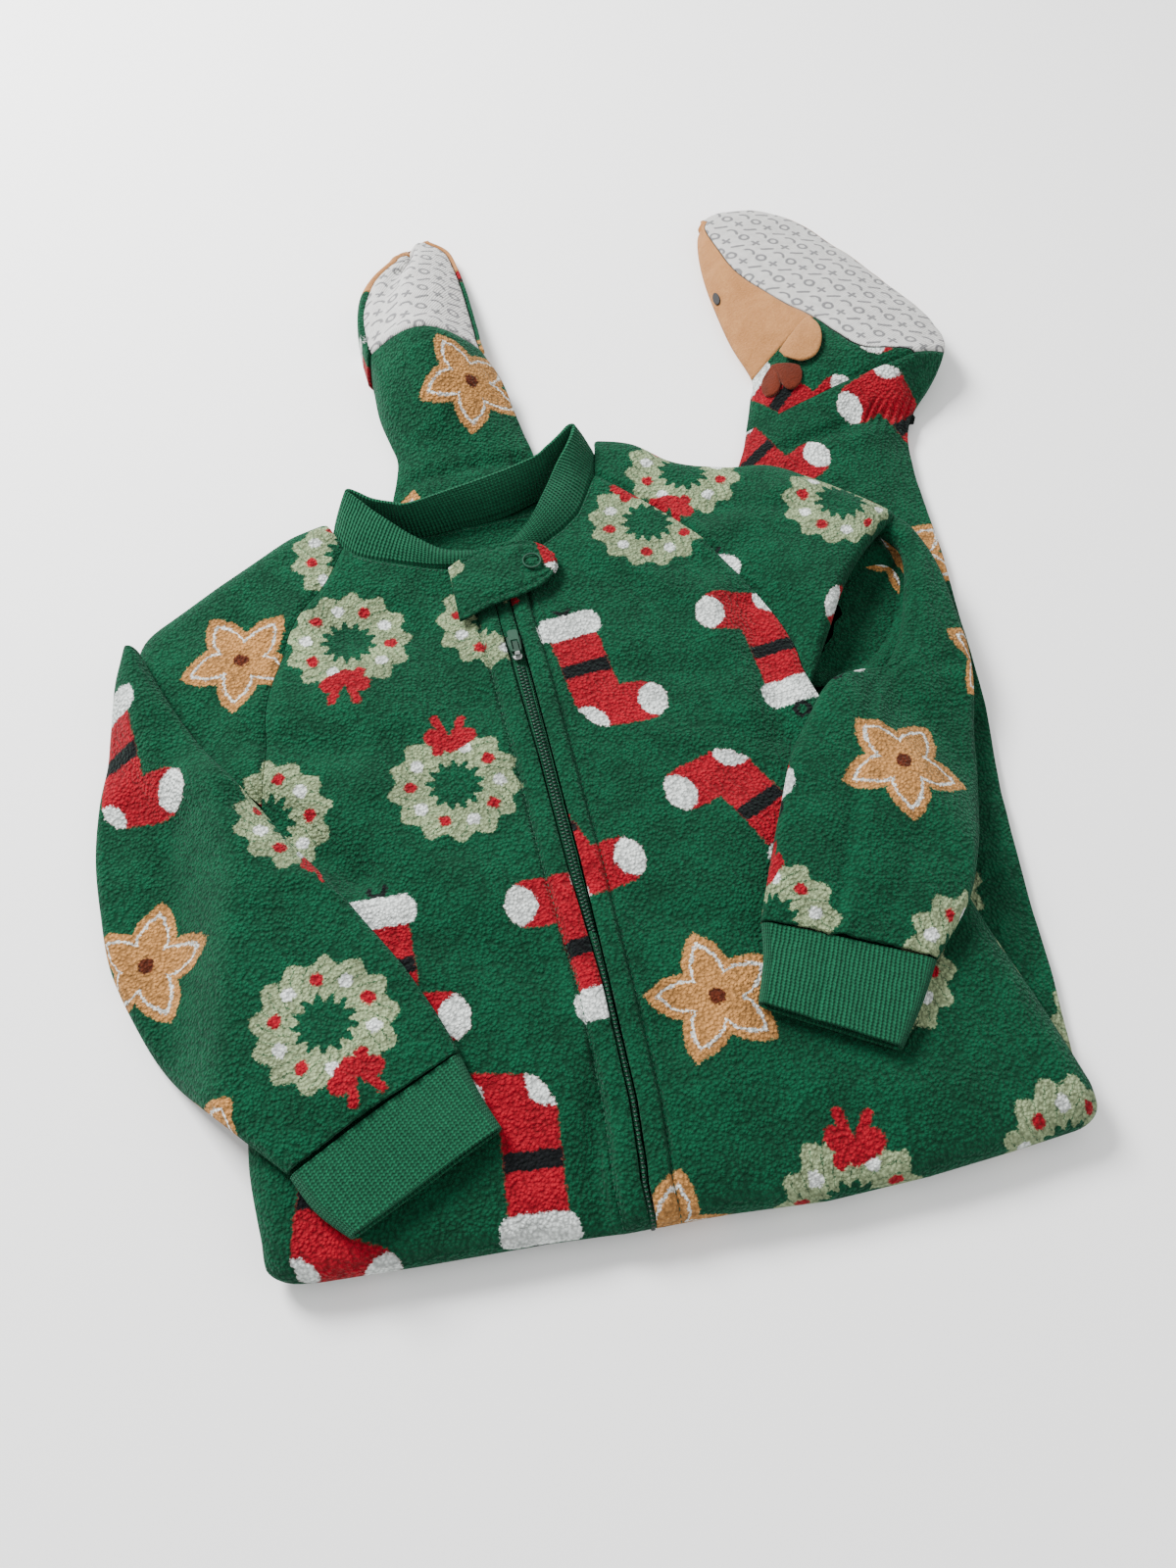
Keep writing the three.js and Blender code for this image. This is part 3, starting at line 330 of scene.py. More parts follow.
SIDE_RIGHT = table("y x", [
    [110, -196], [80, -190], [50, -176], [26, -160], [-6, -157], [-40, -160], [-76, -165], [-110, -170],
    [-146, -173],
])
SIDE_LEFT = table("y x", [[34, 121], [-2, 131], [-38, 144], [-72, 152], [-108, 158], [-144, 166]])
BEND_SHARE = 0.14        # share of a flattened tube's round that each of its two bends takes

# Creases along or across a sleeve: place s along it and across it (0 inner bend, 1 outer), in shares of each.
CREASES_RIGHT = table("s1 a1 s2 a2 width rise", [
    [0.22, 0.2, 0.46, 0.62, 7, -1.6], [0.34, 0.1, 0.6, 0.3, 8, 1.8], [0.5, 0.75, 0.8, 0.6, 9, -1.2],
    [0.62, 0.2, 0.86, 0.34, 6, -1.2], [0.7, 0.62, 0.97, 0.5, 7, 1.1], [0.15, 0.5, 0.3, 0.85, 7, 1.4],
])
CREASES_LEFT = table("s1 a1 s2 a2 width rise", [
    [0.3, 0.3, 0.99, 0.38, 3.2, -1.3], [0.3, 0.34, 0.99, 0.45, 4, 0.9], [0.22, 0.4, 0.42, 0.75, 7, 1.6],
    [0.3, 0.6, 0.55, 0.86, 7, -1.3], [0.55, 0.66, 0.8, 0.55, 8, 1.1], [0.7, 0.8, 0.95, 0.62, 6, -1.1],
])
CUFF_SEAM = table("s1 a1 s2 a2 width rise", [[-0.1, 0.37, 1.1, 0.4, 1.3, -0.9]])


def under_right(x, y):
    inside = ease((x - look_up(SIDE_RIGHT, "y", y, "x") + 40) / 36)
    return mix(REST, top_cloth(x, y) + REST, inside)


def under_left(x, y):
    inside = ease((look_up(SIDE_LEFT, "y", y, "x") + 38 - x) / 36)
    beside = mix(LEG_THICK + REST, 13, ease((y + 5) / 30))
    return mix(beside, top_cloth(x, y) + REST, inside)


def sleeve_creases(creases, s, across, length, width):
    rise = np.zeros_like(across)
    for s1, a1, s2, a2, size, height in zip(*creases.values()):
        dx, dy = (a2 - a1) * width, (s2 - s1) * length
        px, py = (across - a1) * width, (s - s1) * length
        t = np.clip((px * dx + py * dy) / (dx * dx + dy * dy), 0, 1)
        rise = rise + height * bell(np.hypot(px - t * dx, py - t * dy), size)
    return rise


def flat_tube(rows, under, thick, puff, length, creases=None, pucker=0.0):
    """The skin of a flattened tube: t goes by the inner bend, the top, the outer bend and the underside."""
    def skin(s, t):
        row = along(rows, s)
        turned = np.mod(t, 1)
        dx, dy = row.outX - row.inX, row.outY - row.inY
        width = np.hypot(dx, dy)
        half = np.minimum(thick / 2, width / 3)
        far = turned >= 0.5
        local = turned - 0.5 * far
        on_bend = local < BEND_SHARE
        angle = local / BEND_SHARE * math.pi
        share = (local - BEND_SHARE) / (0.5 - BEND_SHARE)
        bend_in = np.where(far, width - half + half * np.sin(angle), half - half * np.sin(angle))
        flat = np.where(far, mix(width - half, half, share), mix(half, width - half, share))
        across = np.where(on_bend, bend_in, flat)
        lift = np.where(on_bend, np.where(far, np.cos(angle), -np.cos(angle)), np.where(far, -1.0, 1.0))
        x = row.inX + dx * across / width
        y = row.inY + dy * across / width
        share_across = np.clip(across / width, 0, 1)
        up = np.clip(lift, 0, 1)
        crown = puff * np.sin(math.pi * share_across) * up
        if creases is not None:
            crown = crown + up * sleeve_creases(creases, s, share_across, length, width)
        crown = crown + up * 0.4 * value_noise(x, y, 17, 8)
        near_cuff = np.exp(-(1 - s) * length / 9) * pucker
        crown = crown + up * near_cuff * np.sin(share_across * width * 0.9 + 2 * value_noise(x, y, 14, 5))
        z = under(x, y) + thick / 2 * (1 + lift) + crown
        edge_run = np.where(far, 1, -1) * np.where(on_bend, half * np.abs(angle - math.pi * ~far), 0)
        edge_run = edge_run * (lift < 0.98)
        return np.stack([x, y, z, edge_run * dx / width, edge_run * dy / width], -1)
    return skin


# Neck band: seam is the edge sewn to the body, edge the free one
NECK_BAND = table("seamX seamY seamZ edgeX edgeY edgeZ", [
    [-22, 140.8, 22.6, -22, 148, 23.6], [-42, 143.6, 22.6, -40, 151, 25], [-58, 148.6, 22.8, -54, 160, 28],
    [-75, 155.4, 23, -65, 170, 31], [-86, 161.8, 23, -73, 178, 33.5], [-91, 169, 22.6, -79, 185, 34.8],
    [-94, 177, 21.6, -83, 189.5, 35.6], [-95, 184, 19.5, -85.6, 193, 35.4], [-92, 189, 17, -83.4, 195, 34.4],
    [-86, 189.5, 15, -79, 193, 33], [-78, 186, 13.9, -73, 189, 31.6], [-64, 181, 13.4, -64, 186, 29.6],
    [-52, 178, 13.2, -55, 184, 28.6], [-30, 179.5, 13, -36, 188, 28], [-8, 181.5, 13, -10, 193, 28.2],
    [16, 189, 13.6, 14, 199, 30], [28, 196, 14, 24, 204, 32], [38, 203, 14.8, 32, 209, 34],
    [45, 208.5, 16, 38, 213, 35.6], [49.5, 209, 18.5, 41.5, 211.5, 36.4], [50, 203, 21, 39.5, 205.5, 36.6],
    [47, 194, 22.4, 34, 197, 35.8], [43, 185, 22.8, 27, 188, 34.5], [31, 163.4, 23, 18, 175, 32],
    [12, 149.4, 22.8, 7, 160, 29.5], [-5, 142.6, 22.6, -6, 150.5, 24.6], [-14, 141, 22.6, -14, 148.5, 23.7],
])
BACK_NECK = table("leftX leftY rightX rightY sag rise", [
    [-74, 139, 22, 137, 0, 9], [-80, 150, 26, 148, 1, 9], [-82, 161, 28, 161, 2, 9],
    [-76, 172, 26, 175, 3, 9.3], [-67, 181.5, 16, 187.5, 4.5, 9.8],
])
BAND_LENGTH = 430
BAND_WIDTH = 17
BAND_TUCK = 0.16         # how far the band goes on under the seam, as a share of its width


def band_skin(s, t):
    row = along(NECK_BAND, s)
    swell = 1.3 * np.sin(math.pi * np.clip(t, 0, 1))
    tucked = np.clip(-t / BAND_TUCK, 0, 1)
    x, y = mix(row.seamX, row.edgeX, t), mix(row.seamY, row.edgeY, t)
    z = mix(row.seamZ, row.edgeZ, np.maximum(t, 0)) + swell - 3.4 * tucked ** 0.6
    return np.stack([x, y, z + 0.3 * value_noise(x, y, 9, 21), 0 * x, 0 * x], -1)


def back_skin(s, t):
    row = along(BACK_NECK, s)
    x = mix(row.leftX, row.rightX, t)
    y = mix(row.leftY, row.rightY, t) - row.sag * np.sin(math.pi * np.clip(t, 0, 1))
    tape = 0.9 * ease((s - 0.80) / 0.02) - 0.35 * bell((s - 0.9) * 45, 1.0)
    z = row.rise + tape + 0.5 * value_noise(x, y, 13, 22) + 0.8 * bell(x + 34 - 0.3 * (y - 150), 6)
    return np.stack([x, y, z, 0 * x, 0 * x], -1)


# Legs and feet, sole up: low is the near side on the surface, ridge the sole's near edge, far its far edge
LEG_LEFT = table("lowX lowY ridgeX ridgeY ridgeZ farX farY farZ hump", [
    [163, 389, 168, 391, 10.5, 183, 398.5, 9, 0.8], [159, 381, 163.5, 381, 12.5, 202, 396, 9, 1.4],
    [155, 363, 165, 359, 15.5, 223, 379, 10, 2.4], [152.5, 340, 168, 334, 19, 240, 349, 11, 3],
    [152, 314, 180, 305, 22.5, 254, 319, 12.5, 3.2], [153, 284, 188, 291, 24.5, 260, 303, 13.5, 3.2],
    [157, 254, 199, 275, 26.5, 268, 280, 15.5, 3], [152, 240, 207, 258, 28.5, 271, 262, 17.5, 2.6],
    [147, 227, 218, 242, 29.5, 271, 250, 19, 2], [142, 215, 245, 232, 28.5, 266, 236, 20.5, 1],
    [137, 203, 226, 219, 22, 255, 222, 14, 2], [131, 192, 208, 205, 16.5, 239, 206, 10, 2],
    [122, 176, 196, 184, 11.5, 230, 190, 7.5, 1.4], [114, 158, 186, 164, 9.4, 225, 168, 6.2, 0.8],
    [110, 136, 178, 140, 8.4, 222, 144, 6, 0.8], [106, 104, 170, 106, 8.4, 219, 108, 6, 0.8],
    [100, 60, 160, 60, 8.4, 212, 60, 6, 0.8], [98, 10, 156, 10, 8.4, 205, 10, 6, 0.8],
    [98, -40, 150, -40, 8.4, 194, -40, 6, 0.8], [98, -90, 146, -90, 8.4, 186, -90, 6, 0.8],
    [98, -130, 142, -130, 8.4, 181, -130, 6, 0.8], [98, -166, 140, -166, 8.4, 175, -168, 6, 0.8],
])
LEG_RIGHT = table("lowX lowY ridgeX ridgeY ridgeZ farX farY farZ hump", [
    [-36, 396, -31, 398, 9.5, -9, 413, 8, 4], [-48, 383, -44, 384, 11, 1, 401, 8.5, 8],
    [-56, 370, -51.5, 369, 13, 4, 381, 9.5, 13], [-60, 346, -58, 346, 15, 5, 356, 12, 17],
    [-61, 322, -59, 318, 18, 5, 322, 16, 19], [-60, 300, -57.5, 307, 22, 5, 299, 20, 19],
    [-60, 272, -53, 274, 18, 13, 276, 15, 16], [-57, 251, -46, 252, 15, 16, 252, 11, 9],
    [-55, 237, -40, 237, 12.5, 18, 237, 8.5, 5], [-58, 222, -38, 222, 11, 20, 222, 7.4, 3.4],
    [-63, 205, -34, 205, 9, 21, 205, 6.4, 2], [-64, 186, -30, 186, 6.8, 21, 186, 5.8, 0.8],
    [-62, 166, -28, 166, 6.3, 20, 166, 5.6, 0.5], [-62, 140, -28, 140, 6.3, 20, 140, 5.6, 0.5],
])
RIDGE = 0.5              # where the sole's near edge is in the round of a leg
FAR = 0.86               # where its far edge is
TOE_DOME = 5.5           # how far the toe's end stands out, in millimetres
SECTION_STEP = 25        # about how far apart a leg's sections are, in millimetres
RING = 72                # points that the toe's middle is worked out from

# Per leg: sections of the toe cap and of the whole foot, the elastic at the ankle, and the notch in the toe.
LEFT_FOOT = SimpleNamespace(rows=LEG_LEFT, cap=6, heel=9, elastic=11.2, gather=1.3, notch=0, span=0.6)
RIGHT_FOOT = SimpleNamespace(rows=LEG_RIGHT, cap=2, heel=5, elastic=9.3, gather=1.0, notch=15, span=0.6)


def leg_ring(foot, s, t):
    """The ring of a leg at section s, without the toe's dome."""
    rows = foot.rows
    last = len(rows["lowX"]) - 1
    row = along(rows, s)
    turned = np.mod(t, 1)
    zero = np.zeros_like(turned)
    low = np.stack([row.lowX + zero, row.lowY + zero, np.minimum(4.5, row.ridgeZ * 0.42) + zero], -1)
    ridge = np.stack([row.ridgeX + zero, row.ridgeY + zero, row.ridgeZ + zero], -1)
    far = np.stack([row.farX + zero, row.farY + zero, row.farZ + zero], -1)
    near_x, near_y = mix(row.lowX, row.farX, 0.03) + 1.2, mix(row.lowY, row.farY, 0.03)
    far_x, far_y = mix(row.farX, row.lowX, 0.03) - 1, mix(row.farY, row.lowY, 0.03)
    near_foot = np.stack([near_x + zero, near_y + zero, zero], -1)
    far_foot = np.stack([far_x + zero, far_y + zero, zero], -1)

    def stretch(a, b, start, end):
        k = np.clip((turned - start) / (end - start), 0, 1)
        return a + (b - a) * k[..., None], k

    under, _ = stretch(far_foot, near_foot, 0, 0.3)
    turn_up, _ = stretch(near_foot, low, 0.3, 0.36)
    side, k_side = stretch(low, ridge, 0.36, RIDGE)
    side[..., 2] += 0.16 * (row.ridgeZ - 4) * np.sin(math.pi * k_side)
    sole, k_sole = stretch(ridge, far, RIDGE, FAR)
    sole[..., 2] += row.hump * np.sin(math.pi * k_sole)
    down, k_down = stretch(far, far_foot, FAR, 1)
    down[..., 0] += 1.6 * np.sin(math.pi * k_down)
    place = s * last
    if foot.notch:
        pull = foot.notch * bell(k_sole - 0.36, 0.2) * np.exp(-place / 0.9)
        sole[..., 1] -= pull
        valley = 6.5 * bell(k_sole - mix(0.4, 0.22, place / 4), 0.13) * ease((4.2 - place) / 2)
        sole[..., 2] -= valley * (k_sole > 0)
    ring = under
    for start, part in ((0.3, turn_up), (0.36, side), (RIDGE, sole), (FAR, down)):
        ring = np.where((turned >= start)[..., None], part, ring)
    near_elastic = np.exp(-((place - foot.elastic) / foot.span) ** 2)
    upper = ease((turned - 0.38) / 0.06) * ease((0.99 - turned) / 0.06)
    wave = np.sin(turned * 112 + 3.6 * value_noise(ring[..., 0], ring[..., 1], 15, 12))
    drawn_in = np.exp(-((place - foot.elastic) / 0.3) ** 2)
    uneven = 0.5 + 0.4 * value_noise(ring[..., 0] + 40, ring[..., 1], 19, 15)
    ring[..., 2] += foot.gather * upper * (near_elastic * wave * uneven - 1.7 * drawn_in)
    soft = ease((place - 0.5) / 2)
    ring[..., 2] += upper * soft * (0.9 * value_noise(ring[..., 0], ring[..., 1], 26, 13)
                                    + 0.45 * value_noise(ring[..., 0], ring[..., 1], 10, 14))
    seam = np.minimum(np.abs(turned - RIDGE), np.abs(turned - FAR)) * np.where(place < foot.heel, 220, 1e4)
    across = np.clip(foot.heel + 0.35 - place, 0, 1) * upper
    ring[..., 2] -= 0.9 * bell(seam, 1.5) * across
    ring[..., 2] -= 1.0 * np.exp(-((place - foot.heel) / 0.12) ** 2) * upper
    return ring


def leg_skin(foot):
    """A leg with its foot: s below 0 is the dome that closes the toe."""
    def skin(s, t):
        ring = leg_ring(foot, np.maximum(s, 0), t)
        start = leg_ring(foot, np.zeros(RING), np.linspace(0, 1, RING, endpoint=False))
        after = leg_ring(foot, np.full(RING, 0.02), np.linspace(0, 1, RING, endpoint=False))
        middle = start.mean(0)
        ahead = middle - after.mean(0)
        ahead[2] = 0
        ahead /= np.linalg.norm(ahead)
        angle = (np.clip(-s, 0, 1) * math.pi / 2)[..., None]
        domed = middle + (ring - middle) * np.cos(angle) + ahead * TOE_DOME * np.sin(angle)
        p = np.where((s < 0)[..., None], domed, ring)
        run = np.zeros_like(p[..., :2])
        turned = np.mod(t, 1)
        row = along(foot.rows, np.maximum(s, 0))
        run[..., 0] = np.where((turned > 0.3) & (turned < RIDGE), -0.5 * (row.ridgeZ - p[..., 2]), 0)
        run[..., 0] += np.where(turned >= FAR, 0.9 * (row.farZ - p[..., 2]), 0)
        return np.concatenate([p, run], -1)
    return skin


# Mesh work

STITCH_REACH = 0.35      # how far on along its line a stitch's direction is taken from


def steps(length, spacing, near=(0.35, 0.9, 1.8, 3.2)):
    """Shares of a length at an even spacing, closer at both ends."""
    close = [d / length for d in near if d < length / 3]
    count = max(2, round(length / spacing))
    first = close[-1] if close else 0
    even = [k / count for k in range(1, count) if first < k / count < 1 - first]
    return np.array([0.0, *close, *even, *(1 - c for c in reversed(close)), 1.0])


def round_steps(count):
    return np.arange(count) / count


def grid_normals(p, loop):
    down = np.gradient(p, axis=0)
    if loop:
        across = (np.roll(p, -1, 1) - np.roll(p, 1, 1)) / 2
    else:
        across = np.gradient(p, axis=1)
    n = np.cross(down, across)
    return n / np.maximum(np.linalg.norm(n, axis=-1, keepdims=True), 1e-9)


def grid_faces(n, m, offset, loop, flip):
    i, j = np.meshgrid(np.arange(n - 1), np.arange(m if loop else m - 1), indexing="ij")
    a, b = i * m + j, (i + 1) * m + j
    c, d = (i + 1) * m + (j + 1) % m, i * m + (j + 1) % m
    quads = np.stack([a, b, c, d], -1).reshape(-1, 4) + offset
    return quads[:, ::-1] if flip else quads


def border(n, m, loop):
    """Index loops round the open sides of a grid, going round once."""
    if loop:
        return [np.arange(m), (n - 1) * m + np.arange(m)[::-1]]
    top = np.arange(m)
    right = np.arange(1, n) * m + m - 1
    bottom = (n - 1) * m + np.arange(m - 2, -1, -1)
    left = np.arange(n - 2, 0, -1) * m
    return [np.concatenate([top, right, bottom, left])]


def make_mesh(name, vertices, faces, uv=None):
    """A smooth-shaded object from points in millimetres of the plan; it sits at the origin."""
    mesh = bpy.data.meshes.new(name)
    mesh.from_pydata(((np.asarray(vertices) - SHIFT) / 1000).tolist(), [], [list(map(int, f)) for f in faces])
    if uv is not None:
        layer = mesh.uv_layers.new(name="cloth")
        corners = np.zeros(len(mesh.loops), int)
        mesh.loops.foreach_get("vertex_index", corners)
        layer.data.foreach_set("uv", np.asarray(uv)[corners].astype(np.float32).ravel())
    mesh.polygons.foreach_set("use_smooth", [True] * len(mesh.polygons))
    mesh.update()
    obj = bpy.data.objects.new(name, mesh)
    bpy.context.scene.collection.objects.link(obj)
    return obj


def shell(name, skin, rows, columns, wall, loop=False, turn=0.0, shift=(0.0, 0.0), flip=None):
    """A wall of cloth over a grid on its outer skin, with a rounded rim. turn is the print's angle."""
    s, t = np.meshgrid(rows, columns, indexing="ij")
    found = skin(s, t)
    outer, run = found[..., :3], found[..., 3:5]
    n, m = s.shape
    normal = grid_normals(outer, loop)
    if flip is None:
        flip = normal[..., 2].mean() < 0
    if flip:
        normal = -normal
    inner = outer - normal * wall
    angle = math.radians(turn)
    plan = outer[..., :2] + run
    uv = np.stack([
        plan[..., 0] * math.cos(angle) + plan[..., 1] * math.sin(angle) + shift[0],
        plan[..., 1] * math.cos(angle) - plan[..., 0] * math.sin(angle) + shift[1],
    ], -1).reshape(-1, 2) / 1000
    count = n * m
    vertices = [outer.reshape(-1, 3), inner.reshape(-1, 3)]
    faces = [grid_faces(n, m, 0, loop, flip), grid_faces(n, m, count, loop, not flip)]
    uvs = [uv, uv]
    middle = (outer + inner) / 2
    flat_middle = middle.reshape(-1, 3)
    start = 2 * count
    for ring in border(n, m, loop):
        i, j = ring // m, ring % m
        step_in = outer[np.clip(i, 1, n - 2), j if loop else np.clip(j, 1, m - 2)] - outer[i, j]
        away = -step_in / np.maximum(np.linalg.norm(step_in, axis=-1, keepdims=True), 1e-9)
        rim = flat_middle[ring] + away * wall * 0.18
        vertices.append(rim)
        uvs.append(uv[ring])
        k = np.arange(len(ring))
        after = (k + 1) % len(ring)
        up = np.stack([ring[k], ring[after], start + after, start + k], -1)
        low = np.stack([start + k, start + after, count + ring[after], count + ring[k]], -1)
        both = np.concatenate([up, low])
        faces.append(both[:, ::-1] if flip else both)
        start += len(ring)
    return make_mesh(name, np.concatenate(vertices), np.concatenate(faces), np.concatenate(uvs))


def place_on(skin, s, t):
    """Points on a skin, with the direction square to it."""
    here = skin(s, t)[..., :3]
    ahead = skin(s + 2e-3, t)[..., :3] - skin(s - 2e-3, t)[..., :3]
    aside = skin(s, t + 2e-3)[..., :3] - skin(s, t - 2e-3)[..., :3]
    ahead /= np.maximum(np.linalg.norm(ahead, axis=-1, keepdims=True), 1e-9)
    up = np.cross(ahead, aside)
    up /= np.maximum(np.linalg.norm(up, axis=-1, keepdims=True), 1e-9)
    return here, np.where(up[..., 2:3] < 0, -up, up)


def template(segments, rings, size):
    """A small ellipsoid, as points and faces, modelled once for what repeats."""
    bpy.ops.object.select_all(action="DESELECT")
    bpy.ops.mesh.primitive_uv_sphere_add(segments=segments, ring_count=rings, radius=0.5)
    obj = bpy.context.active_object
    points = np.array([v.co for v in obj.data.vertices]) * np.array(size)
    faces = [list(p.vertices) for p in obj.data.polygons]
    bpy.data.objects.remove(obj)
    return points, faces


def scatter(name, shape, here, ahead, up, lift=0.0):
    """Copies of a small shape, its X along ahead and its Z along up, joined in one mesh."""
    points, faces = shape
    side = np.cross(up, ahead)
    vertices, every = [], []
    for k in range(len(here)):
        turned = points[:, :1] * ahead[k] + points[:, 1:2] * side[k] + points[:, 2:3] * up[k]
        vertices.append(turned + here[k] + up[k] * lift)
        every += [[v + k * len(points) for v in f] for f in faces]
    return make_mesh(name, np.concatenate(vertices), every)


def stitch_line(skin, s_values, t_values, pitch):
    """Evenly spaced stitches on a skin along a line given by many s and t values."""
    line = skin(np.asarray(s_values, float), np.asarray(t_values, float))[..., :3]
    lengths = np.concatenate([[0], np.cumsum(np.linalg.norm(np.diff(line, axis=0), axis=1))])
    middles = np.arange(pitch, lengths[-1] - pitch, pitch)
    s = np.interp(middles, lengths, s_values)
    t = np.interp(middles, lengths, t_values)
    here, up = place_on(skin, s, t)
    later = middles + STITCH_REACH
    ahead = skin(np.interp(later, lengths, s_values), np.interp(later, lengths, t_values))[..., :3] - here
    ahead /= np.linalg.norm(ahead, axis=-1, keepdims=True)
    up = up - ahead * (up * ahead).sum(-1, keepdims=True)
    up /= np.linalg.norm(up, axis=-1, keepdims=True)
    return here, ahead, up


def join_places(*places):
    return tuple(np.concatenate(parts) for parts in zip(*places))


# Materials: formulas over sockets

class Formula:
    """A socket of a node tree that can be added, multiplied and compared like a number."""

    def __init__(self, tree, socket):
        self.tree = tree
        self.socket = socket

    def math(self, operation, *others, clamp=False):
        node = self.tree.nodes.new("ShaderNodeMath")
        node.operation = operation
        node.use_clamp = clamp
        for slot, value in zip(node.inputs, (self, *others)):
            if isinstance(value, Formula):
                self.tree.links.new(value.socket, slot)
            else:
                slot.default_value = float(value)
        return Formula(self.tree, node.outputs[0])

    def __add__(self, other):
        return self.math("ADD", other)

    def __sub__(self, other):
        return self.math("SUBTRACT", other)

    def __mul__(self, other):
        return self.math("MULTIPLY", other)

    def __truediv__(self, other):
        return self.math("DIVIDE", other)

    def __neg__(self):
        return self.math("MULTIPLY", -1)

    def low(self, other):
        return self.math("MINIMUM", other)

    def high(self, other):
        return self.math("MAXIMUM", other)

    def size(self):
        return self.math("ABSOLUTE")

    def floor(self):
        return self.math("FLOOR")

    def wrap(self, other):
        return self.math("FLOORED_MODULO", other)

    def sine(self):
        return self.math("SINE")

    def cosine(self):
        return self.math("COSINE")


def radius_of(x, y):
    return (x * x + y * y).math("SQRT")


def disc(x, y, cx, cy, radius):
    return radius_of(x - cx, y - cy) - radius


def slab(x, y, cx, cy, half_x, half_y, corner):
    """Signed distance to a box with round corners."""
    dx = (x - cx).size() - (half_x - corner)
    dy = (y - cy).size() - (half_y - corner)
    return radius_of(dx.high(0), dy.high(0)) + dx.high(dy).low(0) - corner


def rod(x, y, ax, ay, bx, by, radius):
    """Signed distance to a line with round ends."""
    length = (bx - ax) ** 2 + (by - ay) ** 2
    k = (((x - ax) * (bx - ax) + (y - ay) * (by - ay)) / length).math("ADD", 0, clamp=True)
    return radius_of(x - ax - k * (bx - ax), y - ay - k * (by - ay)) - radius


def inside(distance, soft=0.9):
    """1 inside an outline, 0 outside, over a soft edge in millimetres."""
    return (distance * (-1 / soft)).math("ADD", 0.5, clamp=True)


class Paint:
    """A material with its node tree and a Principled surface."""

    def __init__(self, name, roughness, sheen=0.0, sheen_tint=(1, 1, 1), specular=0.5):
        self.material = bpy.data.materials.new(name)
        self.material.use_nodes = True
        self.tree = self.material.node_tree
        self.surface = self.tree.nodes["Principled BSDF"]
        self.surface.inputs["Roughness"].default_value = roughness
        self.surface.inputs["Specular IOR Level"].default_value = specular
        self.surface.inputs["Sheen Weight"].default_value = sheen
        self.surface.inputs["Sheen Roughness"].default_value = 0.45
        self.surface.inputs["Sheen Tint"].default_value = (*sheen_tint, 1)

    def node(self, kind, **settings):
        node = self.tree.nodes.new(kind)
        for name, value in settings.items():
            if name in node.inputs:
                node.inputs[name].default_value = value
            else:
                setattr(node, name, value)
        return node

    def value(self, socket):
        return Formula(self.tree, socket)

    def link(self, source, target):
        self.tree.links.new(source.socket if isinstance(source, Formula) else source, target)

    def object_place(self):
        return self.node("ShaderNodeTexCoord").outputs["Object"]

    def cloth_place(self):
        """Two formulas: the place on the cut cloth, in millimetres."""
        node = self.node("ShaderNodeUVMap", uv_map="cloth")
        split = self.node("ShaderNodeSeparateXYZ")
        self.link(node.outputs["UV"], split.inputs[0])
        return self.value(split.outputs[0]) * 1000, self.value(split.outputs[1]) * 1000

    def noise(self, scale, detail=2.0, roughness=0.5, distortion=0.0):
        """Noise by metres of the object: scale is humps in a metre."""
        node = self.node("ShaderNodeTexNoise", Scale=scale, Detail=detail, Roughness=roughness,
                         Distortion=distortion)
        self.link(self.object_place(), node.inputs["Vector"])
        return self.value(node.outputs[0])

    def lumps(self, scale):
        node = self.node("ShaderNodeTexVoronoi", Scale=scale)
        self.link(self.object_place(), node.inputs["Vector"])
        return self.value(node.outputs["Distance"])

    def blend(self, factor, first, second, mode="MIX"):
        node = self.node("ShaderNodeMix", data_type="RGBA", blend_type=mode)
        for slot, value in ((node.inputs[0], factor), (node.inputs[6], first), (node.inputs[7], second)):
            if isinstance(value, (Formula, bpy.types.NodeSocket)):
                self.link(value, slot)
            elif isinstance(value, (int, float)):
                slot.default_value = value
            else:
                slot.default_value = (*value, 1)
        return node.outputs[2]

    def bump(self, height, distance, strength=1.0):
        node = self.node("ShaderNodeBump", Distance=distance, Strength=strength)
        self.link(height, node.inputs["Height"])
        self.link(node.outputs[0], self.surface.inputs["Normal"])

    def colour(self, socket):
        self.link(socket, self.surface.inputs["Base Color"])


def linear(r, g, b):
    """A screen colour, 0 to 255, as linear light."""
    return tuple(((c / 255 + 0.055) / 1.055) ** 2.4 if c > 10 else c / 255 / 12.92 for c in (r, g, b))


GREEN = linear(6, 64, 41)
RED = linear(140, 8, 28)
WHITE = linear(206, 211, 208)
SAGE = linear(130, 144, 108)
TAN = linear(168, 118, 66)
BROWN = linear(76, 30, 15)
BLACK = linear(14, 14, 17)


def stocking(x, y):
    """Layers of a hanging stocking: outlines in millimetres with their colours."""
    leg = slab(x, y, -5, 6, 13, 30, 5)
    foot = rod(x, y, -3, -22, 17, -25, 12.5)
    body = leg.low(foot)
    return [
        (body, RED),
        (slab(x, y, -5, 4, 30, 4.2, 0.5).high(body), BLACK),
        (disc(x, y, 25, -26, 11).high(body), WHITE),
        (disc(x, y, -16, -30, 11).high(body), WHITE),
        (slab(x, y, -5, 33, 17.5, 8, 6.5), WHITE),
        (disc(x, y, -5, 46, 5.2).high(-disc(x, y, -5, 46, 2.6)), BLACK),
    ]


